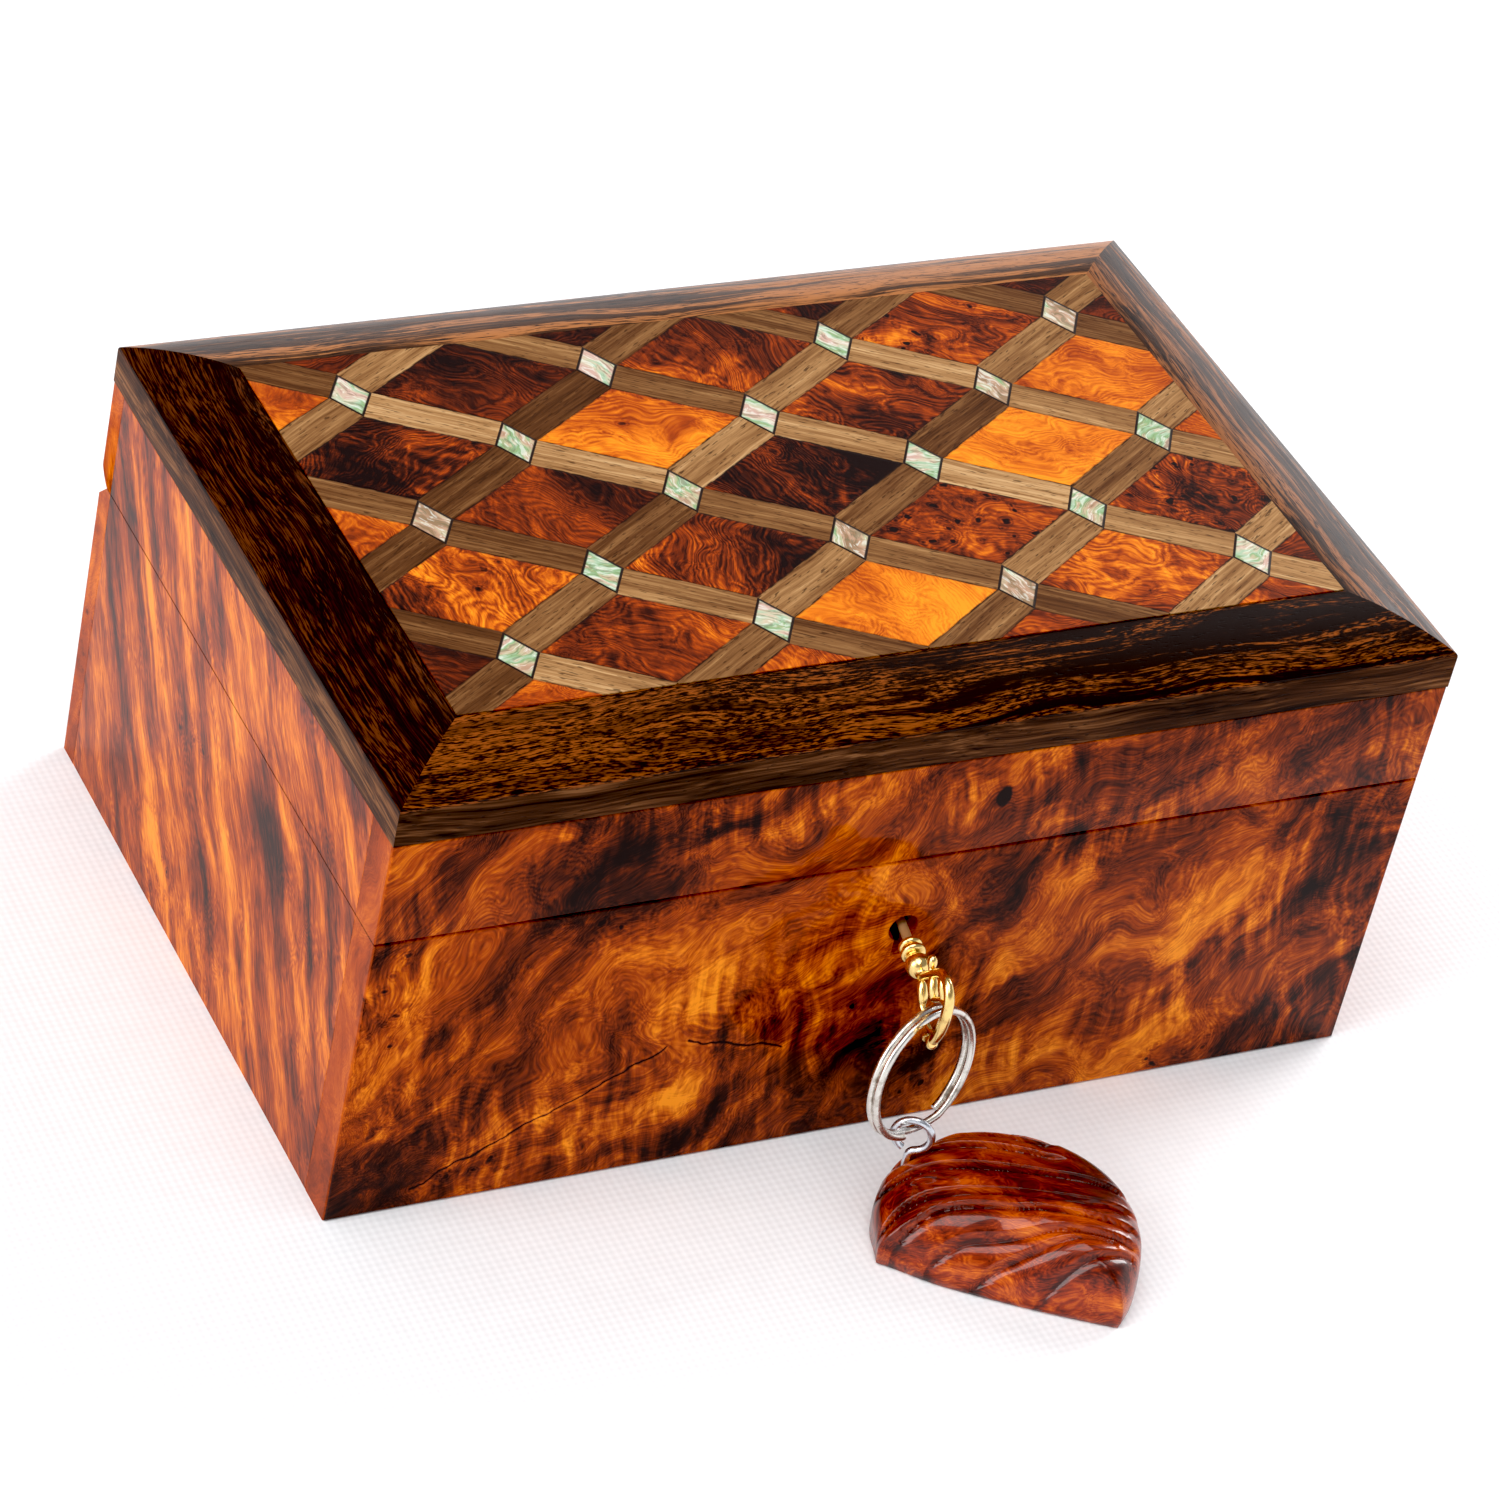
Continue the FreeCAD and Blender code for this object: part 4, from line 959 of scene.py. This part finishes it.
@dataclass
class Key:
    """The brass key, measured along its axis outwards from the face of the box; dull_from is in millimetres."""

    sides: int = 44
    dull_from: float = 3.2

    def place(self) -> Matrix:
        """The key's local frame: X out along the shaft, Y up, Z to the side."""
        turn = joint("key_turn")
        along = Vector(turn["axis"]).normalized()
        up = (Vector((0, 0, 1)) - along * along.z).normalized()
        frame_matrix = Matrix((along, up, along.cross(up))).transposed().to_4x4()
        return Matrix.Translation(Vector(turn["pos_m"])) @ frame_matrix

    def build(self) -> None:
        """Make the key as one piece."""
        place = self.place()
        shape = turned_solid([(s * MM, r * MM) for s, r in self._profile()], place, self.sides)
        add_to(shape, self._bit(place))
        for part in self._bow(place):
            add_to(shape, part)
        dull_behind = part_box("front_wall")[0][1] / MM - self.dull_from
        settle(shape, "brass_key", "key", MetalFinish(Metal.KEY_BRASS, 0.5, dull_behind).material(),
               ("key",), 40.0)

    @staticmethod
    def _profile() -> list[tuple[float, float]]:
        """The turned shaft, its two rings and its ball, in millimetres."""
        line = [(-7.0, 0.0), (-7.0, 0.55), (-6.8, 0.85), (3.0, 0.85), (3.3, 1.1)]
        for centre, half, reach in ((4.2, 0.72, 2.15), (5.8, 0.72, 2.30)):
            line += [(centre + half * math.sin(step), reach - half + half * math.cos(step))
                     for step in (-1.45, -1.0, -0.5, 0.0, 0.5, 1.0, 1.45)]
            line.append((centre + half + 0.09, reach - half - 0.25))
        ball, radius = 8.75, 2.32
        line += [(ball - radius * math.cos(step), radius * math.sin(step) * 0.98)
                 for step in (0.62, 0.85, 1.1, 1.35, 1.57, 1.8, 2.05, 2.3, 2.5)]
        line += [(10.75, 1.05), (11.0, 0.95), (11.5, 0.9), (11.6, 0.0)]
        return line

    @staticmethod
    def _bit(place: Matrix) -> bmesh.types.BMesh:
        """The flat bit with a notch, standing down from the shaft."""
        low, high, reach, half = -6.7 * MM, -5.2 * MM, 5.2 * MM, 0.5 * MM
        shape = bmesh.new()
        outline = [(low, 0.0), (low, -reach), (high, -reach), (high, -3.6 * MM), (high - 0.45 * MM, -3.4 * MM),
                   (high - 0.45 * MM, -2.6 * MM), (high, -2.4 * MM), (high, 0.0)]
        face = shape.faces.new([shape.verts.new((s, t, -half)) for s, t in outline])
        made = bmesh.ops.extrude_face_region(shape, geom=[face])
        bmesh.ops.translate(shape, vec=(0, 0, 2 * half),
                            verts=[item for item in made["geom"] if isinstance(item, bmesh.types.BMVert)])
        bmesh.ops.recalc_face_normals(shape, faces=shape.faces)
        bmesh.ops.bevel(shape, geom=shape.edges[:], offset=0.08 * MM, offset_type="OFFSET", affect="EDGES",
                        segments=1, profile=0.5, material=-1, clamp_overlap=True)
        bmesh.ops.transform(shape, matrix=place, verts=shape.verts)
        return shape

    @staticmethod
    def _bow(place: Matrix) -> list[bmesh.types.BMesh]:
        """The pierced bow: an oval rim, three plump slanting bars, a crest and a curled tail with beads."""

        def rod(points: Sequence[tuple[float, float]], radii: Sequence[float]) -> bmesh.types.BMesh:
            """A rod in the bow's plane, in millimetres."""
            return bent_rod([(s * MM, t * MM, 0.0) for s, t in points], [r * MM for r in radii], place, sides=4)

        parts = [
            rod([(11.0, -0.2), (13.0, 2.2), (15.2, 4.9), (17.4, 7.3), (20.2, 7.9), (22.5, 6.6), (23.3, 3.9),
                 (23.3, 1.0), (22.9, -1.8), (22.2, -3.9), (21.5, -5.2)],
                [0.75, 0.75, 0.8, 0.85, 0.9, 0.95, 1.0, 1.0, 0.95, 0.85, 0.85]),
            rod([(14.3, -3.7), (15.6, -4.45), (17.4, -4.62), (19.4, -4.45), (21.0, -3.8), (22.4, -2.6)],
                [0.65, 0.5, 0.5, 0.5, 0.55, 0.6]),
            rod([(17.5, 0.9), (19.2, 2.6), (21.0, 4.4), (22.9, 4.4)], [0.55, 0.55, 0.6, 0.6]),
            rod([(21.4, -5.2), (20.4, -6.4), (19.2, -6.7)], [0.7, 0.5, 0.45]),
            bead((21.5 * MM, -5.35 * MM, 0.0), 1.08 * MM, place, (1.0, 1.25, 1.0), math.radians(20)),
            bead((19.0 * MM, -6.8 * MM, 0.0), 0.75 * MM, place),
            bead((13.1 * MM, 5.4 * MM, 0.0), 1.0 * MM, place, (1.0, 1.3, 0.9), math.radians(25)),
            rod([(13.1, 4.6), (14.2, 3.8)], [0.6, 0.6]),
        ]
        for s, t, length in ((13.1, -2.0, 2.45), (16.1, 2.3, 2.35), (19.3, 5.9, 2.5)):
            parts.append(bead((s * MM, t * MM, 0.0), 1.0 * MM, place, (1.05, length, 1.0), math.radians(45)))
        return parts


@dataclass
class SplitRing:
    """Two coils of worn nickel wire, side by side, that step across near the eye; first_angle is where the wire
    starts, in degrees from the ring's right side."""

    wire: float = 0.7 * MM
    radius: float = 12.0 * MM
    spread: float = 1.34 * MM
    first_angle: float = -62.0
    sides: int = 14

    def build(self) -> None:
        """Make the ring by spinning a wire's section in three stages."""
        centre, across, up, axis = self.directions()
        start = centre + across * self.radius - axis * (self.spread / 2)
        place = Matrix.Translation(start) @ Matrix((across, axis, up)).transposed().to_4x4()
        shape = bmesh.new()
        section = bmesh.ops.create_circle(shape, cap_ends=True, segments=self.sides, radius=self.wire,
                                          matrix=place)["verts"]
        hinge = Matrix.Rotation(math.radians(self.first_angle), 4, axis)
        about = Matrix.Translation(centre) @ hinge @ Matrix.Translation(-centre)
        bmesh.ops.transform(shape, matrix=about, verts=section)
        geometry = list(shape.faces)
        for angle, steps, shift in ((322.0, 70, 0.0), (34.0, 12, self.spread), (318.0, 70, 0.0)):
            made = bmesh.ops.spin(shape, geom=geometry, cent=centre, axis=axis, dvec=axis * (shift / steps),
                                  angle=math.radians(angle), steps=steps, use_duplicate=False)
            geometry = [item for item in made["geom_last"] if isinstance(item, bmesh.types.BMFace)]
        bmesh.ops.recalc_face_normals(shape, faces=shape.faces)
        settle(shape, "nickel_split_ring", "split_ring",
               MetalFinish(Metal.RING_NICKEL, 0.75).material(), ("split_ring",), 40.0)

    @staticmethod
    def directions() -> tuple[Vector, Vector, Vector, Vector]:
        """The ring's centre, and its directions across, up and along its axis."""
        tilt = joint("fob_tilt")
        foot = Vector(tilt["pos_m"])
        across = -Vector(tilt["axis"]).normalized()
        low, high = (Vector(corner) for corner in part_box("split_ring"))
        centre = (low + high) / 2
        up = (centre - foot).normalized()
        axis = up.cross(across).normalized()
        return centre, across, up, -axis if axis.y > 0 else axis


@dataclass
class ScrewEye:
    """A bent steel wire eye on a shank."""

    wire: float = 0.7 * MM
    radius: float = 3.3 * MM
    turn: float = math.radians(35.0)

    def build(self) -> None:
        """Make the eye, not quite closed, and its threaded shank."""
        low, high = (Vector(corner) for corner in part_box("screw_eye"))
        centre = Vector(((low.x + high.x) / 2, (low.y + high.y) / 2, high.z - self.radius - self.wire))
        side = Vector((-math.cos(self.turn), math.sin(self.turn), 0.0))
        up = Vector(Z_AXIS)
        place = Matrix.Translation(centre) @ Matrix((side, up, side.cross(up))).transposed().to_4x4()
        points, radii = [], []
        for number in range(27):
            angle = math.radians(-66 + number * 12.4)
            points.append((self.radius * math.cos(angle), self.radius * math.sin(angle), 0.0))
            radii.append(self.wire)
        points += [(-0.6 * MM, -self.radius * 1.02, 0.0), (0.0, -self.radius - 0.7 * MM, 0.0),
                   (0.0, -self.radius - 3.0 * MM, 0.0), (0.0, low.z + 0.2 * MM - centre.z, 0.0)]
        radii += [self.wire] * 4
        shape = bent_rod(points, radii, place, sides=5)
        settle(shape, "steel_screw_eye", "fob", MetalFinish(Metal.EYE_STEEL, 0.4).material(),
               ("screw_eye",), 50.0)


@dataclass(frozen=True)
class Groove:
    """One cut across the fob, through three places in millimetres along and across it."""

    start: tuple[float, float]
    bend: tuple[float, float]
    end: tuple[float, float]
    depth: float = 1.0
    wall: float = 0.45
    slope: float = 1.6

    def _measured(self, x: float, y: float) -> tuple[float, float, float]:
        """A point's distance along the groove and across it, and the groove's length."""
        run = (self.end[0] - self.start[0], self.end[1] - self.start[1])
        length = math.hypot(*run)
        gap = (x - self.start[0], y - self.start[1])
        along = (gap[0] * run[0] + gap[1] * run[1]) / length
        across = (-gap[0] * run[1] + gap[1] * run[0]) / length
        return along, across, length

    def cut(self, x: float, y: float) -> float:
        """How deep the groove is at a point: a steep wall on its far side, a long slope on its near side."""
        along, across, length = self._measured(x, y)
        middle, bulge, _ = self._measured(*self.bend)
        share = min(max(along / length, -0.08), 1.08)
        peak = middle / length
        bow = share / peak if share < peak else (1 - share) / (1 - peak)
        away = across - bulge * (1 - (1 - bow) ** 2)
        fade = (max(0.0, min(1.0, (along / length + 0.10) * 10))
                * max(0.0, min(1.0, (1.10 - along / length) * 10)))
        shape = max(0.0, 1 - away / self.wall) if away > 0 else math.exp(away / self.slope)
        return shape * fade * self.depth * (1.15 - 0.45 * share)


@dataclass
class Fob:
    """The carved fob: a D-shaped block whose domed top is cut by grooves; the corner's angles are in degrees."""

    length: float = 44.5 * MM
    depth: float = 31.5 * MM
    height: float = 14.5 * MM
    turn: float = math.radians(-35.6)
    reach: tuple[float, float] = (11.7 * MM, 12.2 * MM)
    rays: int = 380
    rings: int = 128
    belly: float = 1.2 * MM
    corner_cut: float = 1.7 * MM
    corner_angle: float = -152.0
    corner_width: float = 15.0
    lowest: float = 0.8 * MM
    groove_depth: float = 1.9 * MM
    grooves: tuple[Groove, ...] = (
        Groove((-1.1, 9.2), (10.0, 15.4), (38.5, 20.5)),
        Groove((1.0, 2.0), (9.0, 8.4), (40.5, 15.6)),
        Groove((3.5, -0.5), (13.0, 6.8), (41.5, 12.0)),
        Groove((9.0, -2.0), (17.0, 3.2), (43.0, 9.4), 1.1),
        Groove((17.0, -2.6), (24.0, 2.4), (40.0, 8.2), 1.1),
        Groove((28.0, -2.6), (33.0, 1.4), (43.5, 7.4), 1.0),
        Groove((1.5, 16.8), (11.0, 21.5), (27.0, 23.5), 0.9),
        Groove((5.0, 23.6), (13.0, 26.3), (25.0, 27.0), 0.9),
        Groove((11.5, 29.4), (17.0, 29.6), (26.0, 29.4), 0.8),
    )

    @property
    def middle(self) -> tuple[float, float]:
        """The place that the outline is measured from."""
        return self.length / 2, self.depth * 0.4

    def build(self) -> None:
        """Carve the fob."""
        shape = bmesh.new()
        points = [shape.verts.new((number / self.rings, 0.0, 0.0)) for number in range(self.rings + 1)]
        edges = [shape.edges.new(pair) for pair in zip(points, points[1:])]
        bmesh.ops.spin(shape, geom=points + edges, cent=(0, 0, 0), axis=(0, 0, 1), angle=2 * math.pi,
                       steps=self.rays, use_merge=True)
        bmesh.ops.remove_doubles(shape, verts=shape.verts, dist=1e-7)
        hollow = shape.verts.layers.float.new("hollow")
        for vert in shape.verts:
            share, angle = math.hypot(vert.co.x, vert.co.y), math.atan2(vert.co.y, vert.co.x)
            vert.co, vert[hollow] = self._carved(share, angle)
        middle = Vector((*self.middle, 0))
        for inset, height in ((0.990, 0.30 * MM), (0.978, 0.0)):
            made = bmesh.ops.extrude_edge_only(shape, edges=[edge for edge in shape.edges if edge.is_boundary])
            for vert in made["geom"]:
                if isinstance(vert, bmesh.types.BMVert):
                    vert.co = middle + (vert.co - middle) * inset
                    vert.co.z = height
        bmesh.ops.holes_fill(shape, edges=[edge for edge in shape.edges if edge.is_boundary], sides=0)
        bmesh.ops.recalc_face_normals(shape, faces=shape.faces)
        tilt = joint("fob_tilt")["pos_m"]
        place = (Matrix.Translation((tilt[0] - self.reach[0], tilt[1] - self.reach[1], 0.0))
                 @ Matrix.Rotation(self.turn, 4, "Z"))
        bmesh.ops.transform(shape, matrix=place, verts=shape.verts)
        settle(shape, "carved_fob", "fob", self._finish(), ("fob",), 75.0)

    def _rim(self, angle: float) -> tuple[float, float]:
        """The outline in one direction from the middle, in metres from the local corner."""
        middle = self.middle
        radius = ((self.length / 2) ** 2 + self.depth ** 2) / (2 * self.depth)
        centre = (self.length / 2, self.depth - radius)
        ray = (math.cos(angle), math.sin(angle))
        gap = (middle[0] - centre[0], middle[1] - centre[1])
        along = gap[0] * ray[0] + gap[1] * ray[1]
        far = -along + math.sqrt(along ** 2 - (gap[0] ** 2 + gap[1] ** 2 - radius ** 2))
        if ray[1] < 0:
            front = -middle[1] / ray[1]
            for _ in range(4):
                x = middle[0] + ray[0] * front
                dip = -self.belly * max(0.0, 1 - ((x / self.length - 0.45) / 0.55) ** 2)
                front = (dip - middle[1]) / ray[1]
            far = min(far, front)
        past = (math.degrees(angle) - self.corner_angle) / self.corner_width
        far -= self.corner_cut * math.exp(-past ** 2)
        return middle[0] + ray[0] * far, middle[1] + ray[1] * far

    def _carved(self, share: float, angle: float) -> tuple[Vector, float]:
        """One point of the top and how hollow it is: share runs from the middle to the rim."""
        rim = self._rim(angle)
        middle = self.middle
        inner = 1 - max(0.0, 1 - share) ** 1.3
        x = middle[0] + (rim[0] - middle[0]) * inner
        y = middle[1] + (rim[1] - middle[1]) * inner
        front, back = max(0.0, -math.sin(angle)), max(0.0, math.sin(angle))
        right, left = max(0.0, math.cos(angle)) ** 2, max(0.0, -math.cos(angle)) ** 2
        edge = (1.0 + 3.6 * left + 1.2 * right * (1 - front)) * MM
        bend = 2.1 + 3.4 * back + 3.4 * right * (1 - front) - 0.3 * front + 0.4 * left
        power = 0.34 + 0.42 * front - 0.08 * right - 0.06 * back
        dome = max(0.0, 1 - inner ** bend) ** power
        lift = edge + (self.height - 0.2 * MM - edge) * dome
        hollow = max(groove.cut(x / MM, y / MM) for groove in self.grooves)
        carved = hollow * self.groove_depth * min(1.0, (1 - inner) * 5 + 0.55)
        return Vector((x, y, max(lift - carved, self.lowest))), hollow

    @staticmethod
    def _finish() -> bpy.types.Material:
        """Redder, glossier thuya, with painted shade deep in the grooves."""
        recipe = Recipe("fob_burl")
        spot = recipe.shifted(recipe.turned(recipe.place(), 0.5, Z_AXIS), (15.0, 220.0, 31.0))
        figure = Figure(swirl=26.0, push=24.0, flame=6.0, along=0.24, contrast=1.5, cross=0.8, normal=Z_AXIS)
        tone, relief = figure.draw(recipe, spot, -0.05, 0.42)
        hollow = recipe.node("ShaderNodeAttribute", {"attribute_name": "hollow"}, {}, "Fac")
        # Painted shade: the tone is darkened where the grooves are deep.
        tone = tone - hollow.step(0.45, 1.0) * 0.24
        colour = recipe.ramp(tone, ((0.0, (0.012, 0.0015, 0.0005)), (0.25, (0.075, 0.006, 0.001)),
                                    (0.5, (0.27, 0.026, 0.002)), (0.72, (0.52, 0.095, 0.005)),
                                    (1.0, (0.76, 0.24, 0.02))))
        lacquer = Lacquer(coat=0.55, coat_roughness=0.05, specular=0.2)
        return recipe.surface({"Base Color": colour, "Roughness": 0.35, "Normal": recipe.bump(relief, 0.05, 0.5),
                               **lacquer.sockets()})


# ------------------------------------------------------------------ studio

@dataclass(frozen=True)
class Camera:
    """Where the box is seen from: angles in degrees, lengths in metres."""

    aim: Colour = (-0.0048, -0.0133, 0.0448)
    distance: float = 0.9835
    heading: float = 33.288
    drop: float = 37.236
    roll: float = 13.2
    lens: float = 134.2

    def build(self) -> None:
        """Add the camera and make it the scene's."""
        heading, drop, roll = (math.radians(angle) for angle in (self.heading, self.drop, self.roll))
        level = Vector((math.cos(heading), -math.sin(heading), 0.0))
        ahead = Vector((math.sin(heading), math.cos(heading), 0.0))
        forward = ahead * math.cos(drop) - Vector(Z_AXIS) * math.sin(drop)
        upright = level.cross(forward)
        right = level * math.cos(roll) + upright * math.sin(roll)
        up = right.cross(forward)
        lens = bpy.data.cameras.new("view")
        lens.lens = self.lens
        lens.sensor_width = 36.0
        lens.clip_start = 0.01
        holder = bpy.data.objects.new("view", lens)
        bpy.context.scene.collection.objects.link(holder)
        turn = Matrix((right, up, -forward)).transposed().to_4x4()
        holder.matrix_world = Matrix.Translation(Vector(self.aim) - forward * self.distance) @ turn
        bpy.context.scene.camera = holder


@dataclass(frozen=True)
class Studio:
    """A pale woven floor, a bright soft surround and three soft lights; black is the picture's black level."""

    floor_half: float = 3.0
    black: float = 0.018
    surround: float = 1.0

    def build(self) -> None:
        """Add the floor, the surround and the lights."""
        shape = bmesh.new()
        bmesh.ops.create_grid(shape, x_segments=1, y_segments=1, size=self.floor_half)
        mesh = bpy.data.meshes.new("floor")
        shape.to_mesh(mesh)
        shape.free()
        floor = bpy.data.objects.new("floor", mesh)
        bpy.context.scene.collection.objects.link(floor)
        mesh.materials.append(self._cloth())
        self._surround()
        self._lamp("right_softbox", (1.35, 0.55, 0.75), 0.8, 22.0)
        self._lamp("overhead_softbox", (-0.30, -0.25, 1.40), 1.0, 12.0)
        self._lamp("left_softbox", (-1.3, -0.15, 0.85), 0.9, 13.0)
        view = bpy.context.scene.view_settings
        view.view_transform = "Standard"
        view.use_curve_mapping = True
        view.curve_mapping.black_level = (self.black,) * 3
        view.curve_mapping.update()

    @staticmethod
    def _cloth() -> bpy.types.Material:
        """Fine white weave."""
        recipe = Recipe("pale_cloth")
        x, y, _ = recipe.split(recipe.place())
        weave = ((x * 4.4).sine() * 0.5 + 0.5) * 0.5 + ((y * 4.4).sine() * 0.5 + 0.5) * 0.5
        slubs = recipe.noise(recipe.place(), 1 / 5.0, 3.0)
        shade = recipe.ramp(weave * 0.5 + slubs * 0.5, ((0.0, (0.78, 0.78, 0.79)), (1.0, (0.90, 0.90, 0.91))))
        return recipe.surface({"Base Color": shade, "Roughness": 0.9, "Normal": recipe.bump(weave, 0.12, 0.5)})

    def _surround(self) -> None:
        """White near the horizon, greyer overhead, so that lacquer keeps its depth."""
        recipe = Recipe("surround", world=True)
        _, _, height = recipe.split(recipe.node("ShaderNodeTexCoord", {}, {}, "Generated"))
        colour = recipe.ramp(height, ((0.24, (1.25, 1.25, 1.27)), (0.50, (0.30, 0.30, 0.32))))
        recipe.ended(recipe.node("ShaderNodeBackground", {}, {"Color": colour, "Strength": self.surround}),
                     "ShaderNodeOutputWorld")
        bpy.context.scene.world = recipe.owner

    @staticmethod
    def _lamp(name: str, place: Colour, size: float, power: float) -> None:
        """One square soft light that faces the box."""
        lamp = bpy.data.lights.new(name, "AREA")
        lamp.size = size
        lamp.energy = power
        holder = bpy.data.objects.new(name, lamp)
        bpy.context.scene.collection.objects.link(holder)
        away = Vector(place)
        holder.matrix_world = Matrix.Translation(away) @ away.to_track_quat("Z", "Y").to_matrix().to_4x4()


def main() -> None:
    """Build the finished box over the frame, part by part."""
    logging.basicConfig(level=logging.INFO, format="%(name)s: %(message)s")
    Camera().build()
    Studio().build()
    for assembly in (Carcass(), LidFrame(), Marquetry(), Hardware(), Key(), SplitRing(), ScrewEye(), Fob()):
        assembly.build()
        LOG.info("%s done", type(assembly).__name__)


if __name__ == "__main__":
    main()
